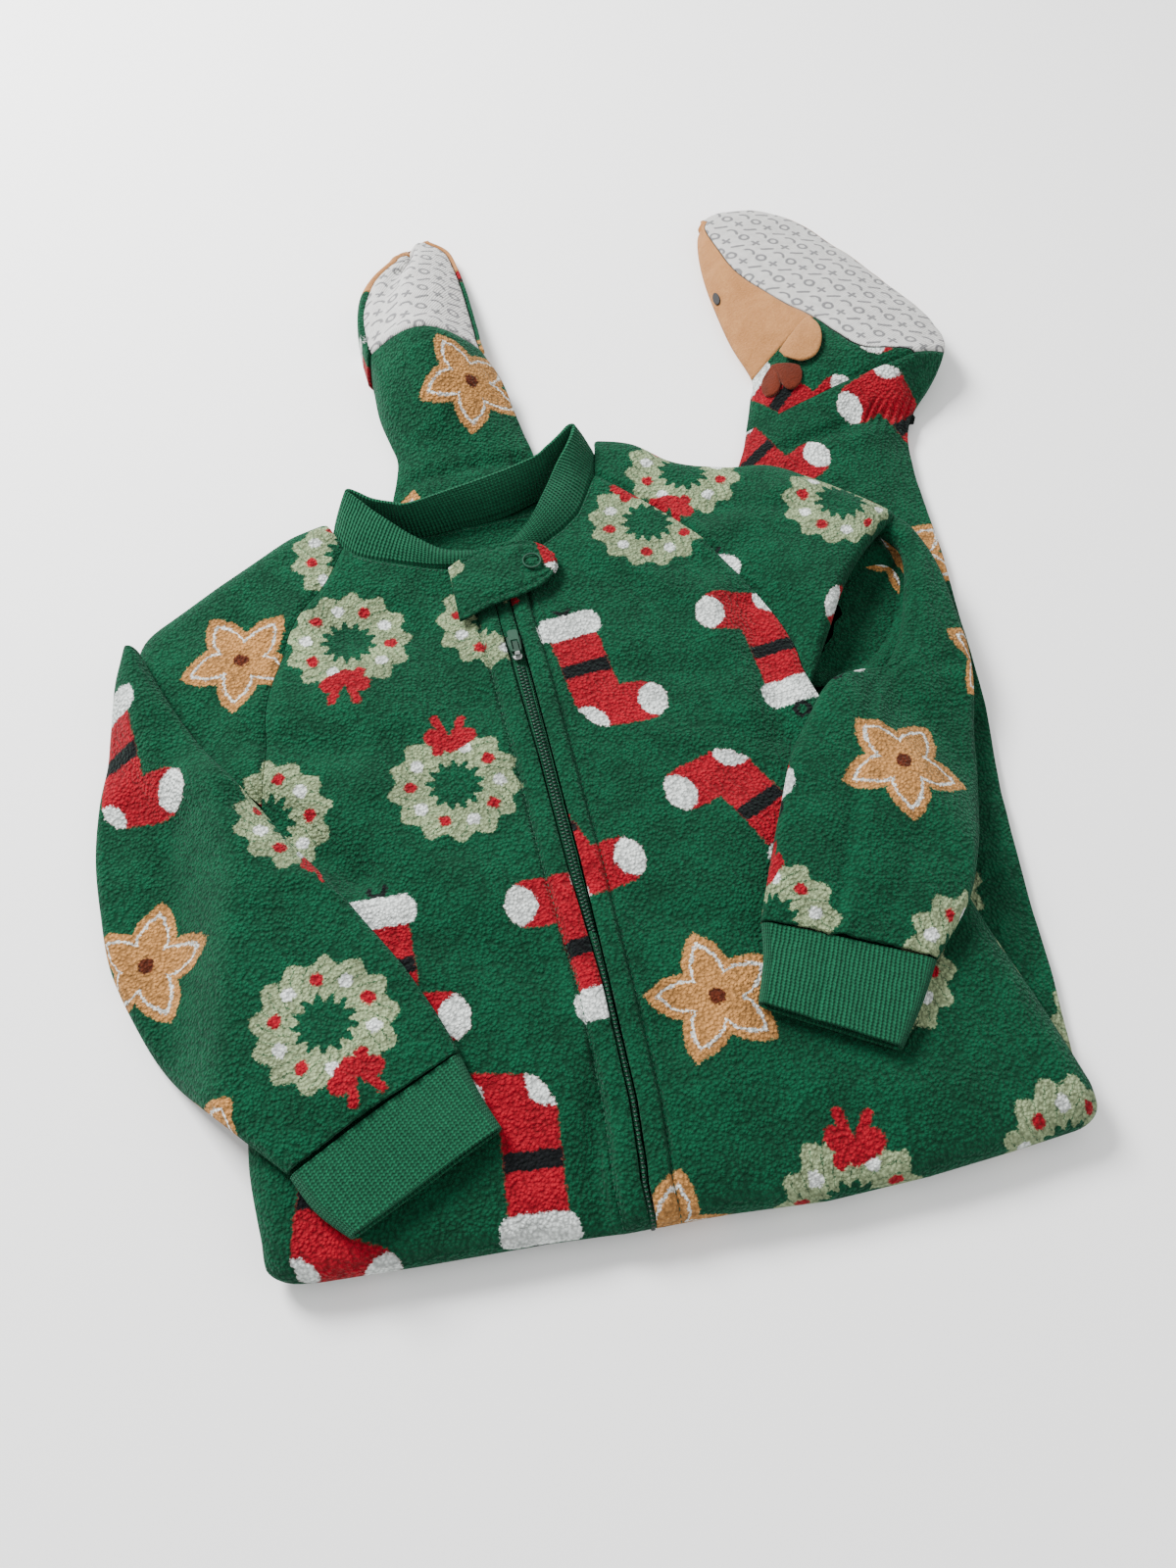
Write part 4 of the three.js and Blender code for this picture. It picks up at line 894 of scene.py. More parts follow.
def wreath(x, y):
    """Layers of a round wreath with berries and a bow."""
    around = y.math("ARCTAN2", x)
    far = radius_of(x, y)
    leaves = (far - 23).size() - 9.5 - (around * 13).sine() * 2.2
    slot_angle = (around * (10 / (2 * math.pi)) + 5.5).floor()
    local = around - (slot_angle - 5) * (2 * math.pi / 10)
    berry = disc(local.cosine() * far, local.sine() * far, 23, 0, 3.4)
    odd = slot_angle.wrap(2) * 40
    veins = ((around * 13 + far * 0.35).sine().size() * 4 - 0.5).high((far - 23).size() - 9)
    return [
        (leaves, SAGE),
        (veins, GREEN),
        (berry + odd, WHITE),
        (berry - odd + 40, RED),
        (rod(x, y, -9, -30, 0, -25, 5).low(rod(x, y, 9, -30, 0, -25, 5)), RED),
        (rod(x, y, -1.5, -27, -7, -41, 2.4).low(rod(x, y, 1.5, -27, 7, -41, 2.4)), RED),
    ]


def iced_star(x, y):
    """Layers of a star biscuit with icing dots and a brown bow."""
    around = y.math("ARCTAN2", x)
    far = radius_of(x, y)
    fifth = 2 * math.pi / 5
    local = ((around - math.pi / 10).wrap(fifth) - fifth / 2).size()
    outline = far - 31 + (local * -1 + fifth / 2) * 22
    dot = disc(x, y, 0, 0, 3.8)
    return [
        (outline, TAN),
        (dot, BROWN),
        ((outline + 6).size() - 0.9, WHITE),
    ]


PRINT_CELL = (84.0, 88.0)    # the lattice's cells, in millimetres of cloth
SOLE_CELL = (9.4, 9.8)


def print_layers(paint, u, v):
    """The print: motifs on a staggered lattice, turned this way and that. Gives the colour's socket."""
    cell_u, cell_v = PRINT_CELL
    line = (v / cell_v).floor()
    along_line = u / cell_u + line.wrap(2) * 0.5
    column = along_line.floor()
    x = (along_line - column - 0.5) * cell_u
    y = (v / cell_v - line - 0.5) * cell_v
    cell = paint.node("ShaderNodeCombineXYZ")
    paint.link(column, cell.inputs[0])
    paint.link(line, cell.inputs[1])
    chance = paint.node("ShaderNodeTexWhiteNoise", noise_dimensions="2D")
    paint.link(cell.outputs[0], chance.inputs["Vector"])
    split = paint.node("ShaderNodeSeparateColor")
    paint.link(chance.outputs["Color"], split.inputs[0])
    tilt = (paint.value(split.outputs[0]) - 0.5) * 0.9 + (column + line).wrap(2) * math.pi
    x = x - (paint.value(split.outputs[1]) - 0.5) * 12
    y = y - (paint.value(split.outputs[2]) - 0.5) * 10
    px = x * tilt.cosine() + y * tilt.sine()
    py = y * tilt.cosine() - x * tilt.sine()
    kind = (column * 2 + line * 3).wrap(5)
    colour = GREEN
    for draw, scale, numbers in ((stocking, 0.92, (0, 2)), (wreath, 0.9, (1, 3)), (iced_star, 1.0, (4,))):
        chosen = None
        for number in numbers:
            here = (kind - number).size() * 60
            chosen = here if chosen is None else chosen.low(here)
        for distance, tone in draw(px / scale, py / scale):
            colour = paint.blend(inside(distance.high(chosen - 20)), colour, tone)
    return colour


def fleece_paint(name, printed, base=GREEN):
    """Brushed fleece: lumpy pile, soft sheen, with or without the print; its colour carries painted shade in
    the pile's valleys and painted light and shade over patches of nap.
    """
    paint = Paint(name, 0.94, sheen=0.07, sheen_tint=(0.45, 0.85, 0.65), specular=0.1)
    pile = paint.noise(950, 2, 0.6)
    pills = (paint.lumps(620) * -1.25 + 1).math("ADD", 0, clamp=True)
    lumps = pills * 0.5 + paint.noise(430, 3, 0.6, 0.3) * 0.65
    nap = paint.noise(52, 3, 0.6, 0.5)
    if printed:
        u, v = paint.cloth_place()
        u = u + (paint.noise(330, 2, 0.7) - 0.5) * 3.4 + (paint.noise(1100, 1, 0.5) - 0.5) * 2.2
        v = v + (paint.noise(350, 2, 0.7, 0.4) - 0.5) * 3.4 + (paint.noise(1000, 1, 0.5, 0.5) - 0.5) * 2.2
        colour = print_layers(paint, u, v)
    else:
        colour = base
    # Painted shade: the colour is darkened in the valleys of the pile's lumps and lightened on their tops, and
    # made lighter and darker over patches of nap, following the bump.
    painted_pile_shade = ((lumps - 0.6) * 1.7 + (nap - 0.5) * 1.2 + 0.5).math("ADD", 0, clamp=True)
    shade = paint.blend(painted_pile_shade, (0.5, 0.5, 0.5), (1.38, 1.38, 1.38))
    paint.colour(paint.blend(1.0, colour, shade, "MULTIPLY"))
    paint.bump(lumps * 1.3 + pile * 0.4 + nap * 0.9, 0.0019, 0.85)
    return paint.material


def rib_paint(name, pitch):
    """Rib knit: fine wales with a little unevenness, and painted shade in the grooves between the wales."""
    paint = Paint(name, 0.88, sheen=0.06, sheen_tint=(0.5, 0.9, 0.7), specular=0.14)
    u, v = paint.cloth_place()
    wobble = (paint.noise(140, 2) - 0.5) * 1.2
    wale = ((u + wobble) * (2 * math.pi / pitch)).sine()
    stitch = ((v + wale * 0.25) * (2 * math.pi / 1.5)).sine()
    ridge = wale * 0.5 + 0.5
    # Painted shade: the colour is darker in the grooves between the wales and lighter on their ridges, with a
    # little random mottle.
    wale_shade_and_mottle = ridge * 0.5 + (paint.noise(500, 2) - 0.5) * 0.9 + stitch * 0.07 + 0.25
    paint.colour(paint.blend(wale_shade_and_mottle.math("ADD", 0, clamp=True), linear(4, 50, 32), linear(18, 90, 60)))
    paint.bump(ridge + stitch * 0.16 + paint.noise(700, 2) * 0.5, 0.0011, 0.9)
    return paint.material


def plush_paint(name, tone, deep):
    """Short plush or felt: fine grain over soft patches."""
    paint = Paint(name, 0.93, sheen=0.14, sheen_tint=(1, 0.9, 0.8), specular=0.1)
    grain = paint.noise(800, 3, 0.65)
    patches = paint.noise(55, 3, 0.6, 0.7)
    amount = ((grain - 0.5) * 1.1 + (patches - 0.5) * 1.3 + 0.5).math("ADD", 0, clamp=True)
    paint.colour(paint.blend(amount, deep, tone))
    paint.bump(grain * 0.8 + patches * 0.6, 0.0016, 0.7)
    return paint.material


def sole_paint(name):
    """Gripper cloth: white knit with rows of small grey rings, crosses, bars and arcs, a little raised."""
    paint = Paint(name, 0.78, sheen=0.1, specular=0.25)
    u, v = paint.cloth_place()
    u = u + (paint.noise(300, 2) - 0.5) * 1.2
    v = v + (paint.noise(310, 2, 0.5, 0.3) - 0.5) * 1.2
    cell_u, cell_v = SOLE_CELL
    line = (v / cell_v).floor()
    along_line = u / cell_u + line * 0.37
    column = along_line.floor()
    x = (along_line - column - 0.5) * cell_u
    y = (v / cell_v - line - 0.5) * cell_v
    kind = (column + line * 2).wrap(4)
    ring = (radius_of(x, y) - 2.7).size() - 0.85
    cross = slab(x, y, 0, 0, 3.3, 0.85, 0.4).low(slab(x, y, 0, 0, 0.85, 3.3, 0.4))
    bar = rod(x, y, -2.2, -2.6, 2.2, 2.6, 0.9)
    arc = ((radius_of(x, y + 1.6) - 3.6).size() - 0.85).high(-y - 0.8)
    marks = ring.high(kind * 20 - 10)
    for number, mark in ((1, cross), (2, bar), (3, arc)):
        marks = marks.low(mark.high((kind - number).size() * 20 - 10))
    shown = inside(marks, 0.5)
    knit = (u * (2 * math.pi / 1.3)).sine() * 0.5 + 0.5
    # Painted shade: the white base is lighter on the knit's ridges and darker between them, over random tone.
    base = paint.blend((paint.noise(240, 3) * 0.7 + knit * 0.25).math("ADD", 0, clamp=True),
                       linear(150, 149, 146), linear(206, 205, 202))
    paint.colour(paint.blend(shown * 0.9, base, linear(96, 96, 98)))
    paint.bump(shown * 0.7 + knit * 0.35 + paint.noise(420, 2) * 0.5, 0.0008, 0.8)
    return paint.material


def plastic_paint(name, tone, roughness):
    paint = Paint(name, roughness, specular=0.5)
    grain = paint.noise(1500, 2)
    light = tuple(min(1.0, c * 1.25) for c in tone)
    paint.colour(paint.blend(grain, tone, light))
    paint.bump(grain, 0.0001, 0.4)
    return paint.material


def slider_paint(name):
    """Green enamel, worn to grey metal at the nose."""
    paint = Paint(name, 0.35)
    split = paint.node("ShaderNodeSeparateXYZ")
    paint.link(paint.object_place(), split.inputs[0])
    nose = (SLIDER_NOSE - SHIFT[1]) / 1000
    worn = (paint.value(split.outputs[1]) + (paint.noise(900) - 0.5) * 0.0012) * -2500 + 2500 * nose
    worn = (worn + 0.5).math("ADD", 0, clamp=True)
    paint.colour(paint.blend(worn, linear(4, 44, 29), linear(170, 174, 172)))
    paint.link(worn * 0.9, paint.surface.inputs["Metallic"])
    return paint.material


MATERIALS = {}


def material(name):
    """Each finish is made once, when a piece first asks for it."""
    makers = {
        "fleece": lambda: fleece_paint("fleece_print", True),
        "fleece_plain": lambda: fleece_paint("fleece_plain", False),
        "rib": lambda: rib_paint("rib_knit", 1.9),
        "plush": lambda: plush_paint("plush_tan", linear(172, 122, 76), linear(136, 90, 50)),
        "felt": lambda: plush_paint("felt_brown", linear(94, 36, 20), linear(60, 20, 10)),
        "sole": lambda: sole_paint("sole_cloth"),
        "thread": lambda: plastic_paint("thread", linear(6, 58, 38), 0.75),
        "black": lambda: plastic_paint("black_thread", linear(4, 4, 5), 0.7),
        "coil": lambda: plastic_paint("zip_coil", linear(3, 30, 21), 0.42),
        "tape": lambda: rib_paint("zip_tape", 1.1),
        "plastic": lambda: plastic_paint("snap_plastic", linear(5, 54, 36), 0.34),
        "slider": lambda: slider_paint("slider_enamel"),
    }
    if name not in MATERIALS:
        MATERIALS[name] = makers[name]()
    return MATERIALS[name]


def give(obj, finish):
    obj.data.materials.clear()
    obj.data.materials.append(material(finish))


def dress(obj, finish):
    give(obj, finish)
    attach(obj, "garment")
    return obj


def cut_cloth(obj, width, length, rests_on=()):
    """Works out the area of a piece cut to that width and length in millimetres, and does nothing with it; the
    shell's own area may be less.
    """
    whole = width * length / 1e6


def front_under(name):
    """The front that a piece of the right or left side lies on."""
    return ["front_right_cloth" if "right" in name else "front_left_cloth"]


# Settings shown in the sidebar

class ClothSettings(bpy.types.PropertyGroup):
    fleece: bpy.props.FloatProperty(
        name="Fleece", description="Wall of the brushed fleece", default=0.0024, min=0.001, max=0.004,
        precision=4, unit="LENGTH")
    rib: bpy.props.FloatProperty(
        name="Rib", description="Wall of the rib knit", default=0.0021, min=0.001, max=0.004,
        precision=4, unit="LENGTH")
    spacing: bpy.props.FloatProperty(
        name="Spacing", description="Distance between points on the cloth", default=0.0023,
        min=0.001, max=0.008, precision=4, unit="LENGTH")
    stitch: bpy.props.FloatProperty(
        name="Stitch", description="Length from one stitch to the next", default=0.0031, min=0.001, max=0.006,
        precision=4, unit="LENGTH")


class StageSettings(bpy.types.PropertyGroup):
    floor_colour: bpy.props.FloatVectorProperty(
        name="Floor", description="Colour of the floor", subtype="COLOR", default=(0.95, 0.95, 0.945),
        min=0, max=1)
    key_power: bpy.props.FloatProperty(
        name="Key light", description="Power of the large soft light", default=76.0, min=0, unit="POWER")
    fill_power: bpy.props.FloatProperty(
        name="Fill light", description="Power of the light from the other side", default=7.0,
        min=0, unit="POWER")


def settings():
    """The cloth's sizes from the sidebar, in millimetres."""
    group = bpy.context.scene.pajama_cloth
    names = ("fleece", "rib", "spacing", "stitch")
    return SimpleNamespace(**{name: 1000 * getattr(group, name) for name in names})


class PAJAMA_OT_fronts(bpy.types.Operator):
    """The two fronts with their lips beside the zip, and the topstitching"""
    bl_idname = "pajama.fronts"
    bl_label = "Fronts"

    def execute(self, context):
        cloth = settings()
        side = np.array([0, 0.03, 0.08, 0.16, 0.26, 0.38, 0.5, 0.64, 0.8])
        panel = 1 + np.arange(62) / 62
        lip = 2 + np.concatenate([np.arange(0, 22) / 22, [0.975, 1]])
        columns = np.concatenate([side, panel, lip])
        flat_rows = steps(FRONT_LENGTH, cloth.spacing)[:-1]
        rows = np.concatenate([flat_rows, 1 + np.arange(24) / 24 * FOLD_END, [1 + FOLD_END]])
        stitches = []
        for name, table_rows, neck, direction in (
            ("front_right", FRONT_RIGHT, NECK_RIGHT, -1), ("front_left", FRONT_LEFT, NECK_LEFT, 1),
        ):
            skin = front_skin(table_rows, neck, direction)
            shift = (18, 30) if direction < 0 else (60, 74)
            piece = shell(name + "_cloth", skin, rows, columns, cloth.fleece, shift=shift)
            dress(piece, "fleece")
            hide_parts(name)
            cut_cloth(piece, 205, 375, rests_on=["hidden_layers"])
            line = np.linspace(0.02, 1.4, 300)
            at = 3 - (10.4 if direction < 0 else 9.8) / LIP_STRETCH
            stitches.append(stitch_line(skin, line, np.full(300, at), cloth.stitch))
            neck_line = np.linspace(0.3, 2.6, 200)
            stitches.append(stitch_line(skin, np.full(200, NECK_STITCH), neck_line, cloth.stitch))
        shape = template(6, 4, (2.3, 0.55, 0.5))
        thread = scatter("lip_topstitch", shape, *join_places(*stitches), lift=0.12)
        dress(thread, "thread")
        return {"FINISHED"}


class PAJAMA_OT_sleeves(bpy.types.Operator):
    """Upper sleeves, forearms and rib cuffs"""
    bl_idname = "pajama.sleeves"
    bl_label = "Sleeves and cuffs"

    def execute(self, context):
        cloth = settings()
        right = shell("sleeve_right_upper_cloth", upper_right_skin, steps(150, cloth.spacing),
                      steps(62, cloth.spacing), cloth.fleece, turn=38, shift=(10, 40))
        dress(right, "fleece")
        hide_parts("sleeve_right_upper")
        cut_cloth(right, 80, 165, rests_on=["hidden_layers"])
        rows = np.concatenate([steps(170, cloth.spacing)[:-1], 1 + np.arange(14) / 13 * 0.62])
        left = shell("sleeve_left_upper_cloth", upper_left_skin, rows, steps(90, cloth.spacing), cloth.fleece,
                     turn=-32, shift=(55, 20))
        dress(left, "fleece")
        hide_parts("sleeve_left_upper")
        cut_cloth(left, 90, 195, rests_on=["hidden_layers"])
        for name, rows_table, under, length, turn, shift, creases, across in (
            ("sleeve_right_forearm", FOREARM_RIGHT, under_right, 280, 28, (30, 66), CREASES_RIGHT, 210),
            ("sleeve_left_forearm", FOREARM_LEFT, under_left, 270, -27, (70, 8), CREASES_LEFT, 170),
        ):
            skin = flat_tube(rows_table, under, SLEEVE_THICK, 2, length, creases, 0.9)
            piece = shell(name + "_cloth", skin, steps(length, cloth.spacing), round_steps(104), cloth.fleece,
                          loop=True, turn=turn, shift=shift, flip="right" in name)
            dress(piece, "fleece")
            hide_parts(name)
            cut_cloth(piece, across, length, rests_on=front_under(name))
        for name, rows_table, under, turn, creases in (
            ("cuff_right", CUFF_RIGHT, under_right, 25, None),
            ("cuff_left", CUFF_LEFT, under_left, -27, CUFF_SEAM),
        ):
            skin = flat_tube(rows_table, under, CUFF_THICK, 1, CUFF_DEPTH, creases)
            piece = shell(name + "_knit", skin, steps(CUFF_DEPTH, 1.6), round_steps(112), cloth.rib, loop=True,
                          turn=turn, flip="right" in name)
            dress(piece, "rib")
            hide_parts(name)
            cut_cloth(piece, 158, CUFF_DEPTH, rests_on=front_under(name))
        return {"FINISHED"}


class PAJAMA_OT_neck(bpy.types.Operator):
    """Rib neck band and the inside of the back that shows in the neck"""
    bl_idname = "pajama.neck"
    bl_label = "Neck"

    def execute(self, context):
        cloth = settings()
        along_band = steps(BAND_LENGTH, 1.8)
        across_band = np.concatenate([np.linspace(-BAND_TUCK, -0.02, 4), steps(BAND_WIDTH, 1.4)])
        band = shell("neck_band_knit", band_skin, along_band, across_band, 2.6)
        mesh = band.data
        layer = mesh.uv_layers["cloth"]
        count = (len(along_band), len(across_band))
        t = np.repeat(across_band[None, :], count[0], 0)
        middle = band_skin(along_band, np.full(count[0], 0.5))[..., :3]
        run = np.concatenate([[0], np.cumsum(np.linalg.norm(np.diff(middle, axis=0), axis=1))])
        uv = np.stack([np.repeat(run[:, None], count[1], 1), t * BAND_WIDTH], -1).reshape(-1, 2) / 1000
        ring = border(count[0], count[1], False)[0]
        every = np.concatenate([uv, uv, uv[ring]])
        corners = np.zeros(len(mesh.loops), int)
        mesh.loops.foreach_get("vertex_index", corners)
        layer.data.foreach_set("uv", every[corners].astype(np.float32).ravel())
        dress(band, "rib")
        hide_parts("neck_band")
        cut_cloth(band, round(float(run[-1])), 24, rests_on=["front_right_cloth", "front_left_cloth"])
        back = shell("back_cloth", back_skin, steps(48, 1.8), steps(100, cloth.spacing), cloth.fleece)
        dress(back, "fleece_plain")
        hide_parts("back")
        cut_cloth(back, 104, 48, rests_on=["hidden_layers"])
        line = np.linspace(0.02, 0.98, 160)
        rows = [stitch_line(back_skin, np.full(160, place), line, 2.4) for place in (0.835, 0.965)]
        thread = scatter("neck_tape_stitch", template(6, 4, (1.8, 0.6, 0.5)), *join_places(*rows))
        dress(thread, "thread")
        return {"FINISHED"}


class PAJAMA_OT_legs(bpy.types.Operator):
    """Legs, heels, plush toe caps and gripper soles"""
    bl_idname = "pajama.legs"
    bl_label = "Legs and feet"

    def execute(self, context):
        cloth = settings()
        upper = np.concatenate([
            [FAR + 0.008, FAR + 0.02], np.linspace(FAR + 0.045, 1.3, 16), np.linspace(1.31, 1.36, 6),
            np.linspace(1.37, 1.485, 22), [1.494, 1.4985],
        ])
        top = np.concatenate([
            [RIDGE + 0.003, RIDGE + 0.008], np.linspace(RIDGE + 0.02, FAR - 0.02, 38),
            [FAR - 0.008, FAR - 0.003],
        ])
        dome = np.array([-0.985, -0.9, -0.75, -0.6, -0.45, -0.3, -0.15])
        for side, foot, turn, shift, cap_cut, heel_cut, sole_cut, leg_cut in (
            ("left", LEFT_FOOT, 8, (40, 52), (150, 150), (170, 70), (80, 185), (220, 395)),
            ("right", RIGHT_FOOT, -6, (38, 44), (120, 62), (130, 78), (80, 118), (170, 150)),
        ):
            skin = leg_skin(foot)
            last = len(foot.rows["lowX"]) - 1
            cap, heel = foot.cap / last, foot.heel / last
            room = 0.012 / last
            reach = SECTION_STEP * last
            toes = np.concatenate([dome, np.linspace(0, cap - room, max(14, round(cap * reach / 2.4)))])
            rise = steps((heel - cap) * reach, 2.0) * (heel - cap - 2 * room) + cap + room
            soles = np.concatenate([dome, np.linspace(0, heel - room, round(heel * reach / 2.2))])
            calf = steps((1 - heel) * reach, 2.4) * (1 - heel - room) + heel + room
            piece = shell(f"toe_cap_{side}_plush", skin, toes, upper, 2.2, turn=turn)
            dress(piece, "plush")
            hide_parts(f"toe_cap_{side}")
            cut_cloth(piece, *cap_cut)
            piece = shell(f"heel_{side}_cloth", skin, rise, upper, 2.2, turn=turn, shift=(12, 20))
            dress(piece, "fleece")
            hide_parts(f"heel_{side}")
            cut_cloth(piece, *heel_cut)
            piece = shell(f"sole_{side}_cloth", skin, soles, top, 2.0, turn=-58 if side == "left" else -30)
            dress(piece, "sole")
            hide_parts(f"sole_{side}")
            cut_cloth(piece, *sole_cut)
            piece = shell(f"leg_{side}_cloth", skin, calf, round_steps(120), cloth.fleece, loop=True, turn=turn,
                          shift=shift)
            dress(piece, "fleece")
            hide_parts(f"leg_{side}")
            cut_cloth(piece, *leg_cut)
        return {"FINISHED"}


def soft_copy(node, name, voxel, smooth):
    """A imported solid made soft: copied, merged, remeshed and smoothed."""
    source = frame["nodes"][node]
    bpy.ops.object.select_all(action="DESELECT")
    obj = source.copy()
    obj.data = source.data.copy()
    obj.name = name
    obj.parent = None
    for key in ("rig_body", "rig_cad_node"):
        if key in obj:
            del obj[key]
    bpy.context.scene.collection.objects.link(obj)
    obj.select_set(True)
    bpy.context.view_layer.objects.active = obj
    bpy.ops.object.mode_set(mode="EDIT")
    bpy.ops.mesh.select_all(action="SELECT")
    bpy.ops.mesh.remove_doubles(threshold=1e-6)
    bpy.ops.object.mode_set(mode="OBJECT")
    remesh = obj.modifiers.new("even", "REMESH")
    remesh.mode = "VOXEL"
    remesh.voxel_size = voxel
    bpy.ops.object.modifier_apply(modifier=remesh.name)
    relax = obj.modifiers.new("soft", "SMOOTH")
    relax.factor = 0.6
    relax.iterations = smooth
    bpy.ops.object.modifier_apply(modifier=relax.name)
    bpy.ops.object.shade_smooth()
    return obj


# Ear of the left foot: base is its sewn edge, tip the free one
EAR = table("baseX baseY baseZ tipX tipY tipZ", [
    [193, 274.5, 26.6, 194.5, 273.5, 28], [189, 271, 26.8, 197, 266, 29.5],
    [185, 267.3, 26.6, 197, 258, 29.6], [181, 263.5, 26.2, 194, 249.5, 28.6],
    [177, 259.8, 25.4, 188.5, 243.4, 27], [174, 257, 24.6, 180, 243, 25.4], [171.6, 254.6, 23.8, 173, 250, 24],
])
# Felt antler of the left foot, two rounded tines: base is its sewn edge, tip the free one
ANTLER = table("baseX baseY tipX tipY", [
    [158.6, 242.4, 157.6, 237.2], [160.4, 246.2, 158.2, 233.2], [163.2, 249.0, 160.9, 231.0],
    [165.8, 251.0, 164.4, 231.6], [167.6, 252.0, 166.9, 234.4], [168.6, 251.9, 168.0, 236.4],
    [169.8, 251.2, 168.4, 233.4], [172.4, 249.4, 170.2, 230.0], [175.6, 246.8, 174.4, 229.4],
    [178.4, 243.8, 178.4, 232.6], [179.8, 241.4, 179.9, 237.6],
])
ANTLER_STRETCH = (6 / 19, 10 / 19)   # the stretch of the leg, in shares of its length, that it is laid on
FELT = 1.5               # wall of the antler's felt
HOLLOW = (160, 72, 38, 17, 0.83)   # middle of the hollow in the left sleeve's bend, its half axes and its turn


def ear_skin(s, t):
    row = along(EAR, t)
    puff = 1.5 * np.sin(math.pi * np.clip(s, 0, 1)) * np.sin(math.pi * np.clip(t, 0, 1))
    dent = 0.8 * bell((s - 0.45) * 16, 3) * bell((t - 0.4) * 26, 6)
    x, y = mix(row.baseX, row.tipX, s), mix(row.baseY, row.tipY, s)
    return np.stack([x, y, mix(row.baseZ, row.tipZ, s) + puff - dent, 0 * x, 0 * x], -1)


def antler_skin():
    """The antler lies on the side of the foot, so its height is read from there."""
    stretch = np.linspace(*ANTLER_STRETCH, 90)
    foot_s, foot_t = np.meshgrid(stretch, np.linspace(0.37, RIDGE, 60), indexing="ij")
    foot_side = leg_ring(LEFT_FOOT, foot_s, foot_t).reshape(-1, 3)

    def skin(s, t):
        row = along(ANTLER, t)
        x, y = mix(row.baseX, row.tipX, s), mix(row.baseY, row.tipY, s)
        far = (x[..., None] - foot_side[:, 0]) ** 2 + (y[..., None] - foot_side[:, 1]) ** 2
        near = np.exp(-far / 5)
        under = (near * foot_side[:, 2]).sum(-1) / near.sum(-1)
        puff = 1.3 * np.sin(math.pi * np.clip(s, 0, 1)) * np.sin(math.pi * np.clip(t, 0, 1))
        return np.stack([x, y, under + FELT + 0.5 + puff - 0.7 * bell(t - 0.5, 0.07), 0 * x, 0 * x], -1)
    return skin


def sink_hollow(obj):
    """Lowers the hidden layers inside the bend of the left sleeve, where one looks in."""
    x0, y0, long_half, short_half, turn = HOLLOW
    for vertex in obj.data.vertices:
        place = np.array(vertex.co) * 1000 + SHIFT
        dx, dy = place[0] - x0, place[1] - y0
        far = math.hypot((dx * math.cos(turn) + dy * math.sin(turn)) / long_half,
                         (dy * math.cos(turn) - dx * math.sin(turn)) / short_half)
        depth = 6.5 * float(ease(np.array((1.35 - far) / 0.6)))
        if place[2] > 8:
            vertex.co.z = max(7.5, place[2] - depth) / 1000


class PAJAMA_OT_trims(bpy.types.Operator):
    """Ear, antler and eye of the left foot, and the hidden layers at the edges"""
    bl_idname = "pajama.trims"
    bl_label = "Foot trims and hidden layers"

    def execute(self, context):
        for node, voxel, smooth, finish, slot in (
            ("eye", 0.0003, 3, "black", "stitch"),
            ("hidden_layers", 0.0022, 3, "fleece_plain", "fleece"),
        ):
            piece = soft_copy(node, node + "_soft", voxel, smooth)
            if node == "hidden_layers":
                sink_hollow(piece)
            dress(piece, finish)
            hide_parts(node)
        ear = shell("ear_plush", ear_skin, np.linspace(0, 1, 15), np.linspace(0, 1, 21), 1.6)
        dress(ear, "plush")
        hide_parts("ear")
        cut_cloth(ear, 30, 20, rests_on=["heel_left_cloth"])
        antler = shell("antler_felt", antler_skin(), np.linspace(0, 1, 15), np.linspace(0, 1, 41), FELT)
        dress(antler, "felt")
        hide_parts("antler")
        cut_cloth(antler, 25, 20, rests_on=["heel_left_cloth"])
        return {"FINISHED"}


# Zip
ZIP_TOP = 88
ZIP_LENGTH = 260         # from there to the bottom fold
UNDER_SLIDER = 72
SLIDER_FRONT = 91
TOOTH_PITCH = 1.9
ZIP_WIDE = 0.6           # down to this share of the zip both rows of coil show between the lips
SLIDER_NOSE = 77.9       # below this y the slider's green coat is worn to the metal


def zip_skin(s, t):
    y = mix(ZIP_TOP, float(fold_start(zip_x(-182.0))), np.clip(s, 0, 1))
    x = zip_x(y) + (2 * t - 1) * (zip_half(y) - 0.1)
    crown = 0.9 * np.sin(math.pi * np.clip(t, 0, 1)) * (1 - ease((y - UNDER_SLIDER) / 4))
    z = top_cloth(x, y) - 1.5 + crown
    angle = np.maximum(s - 1, 0) * math.radians(300)
    folded_z = FOLD_MID + (z - FOLD_MID) * np.cos(angle)
    return np.stack([x, y - FOLD_DEPTH * np.sin(angle), folded_z, 0 * x, 0 * x], -1)


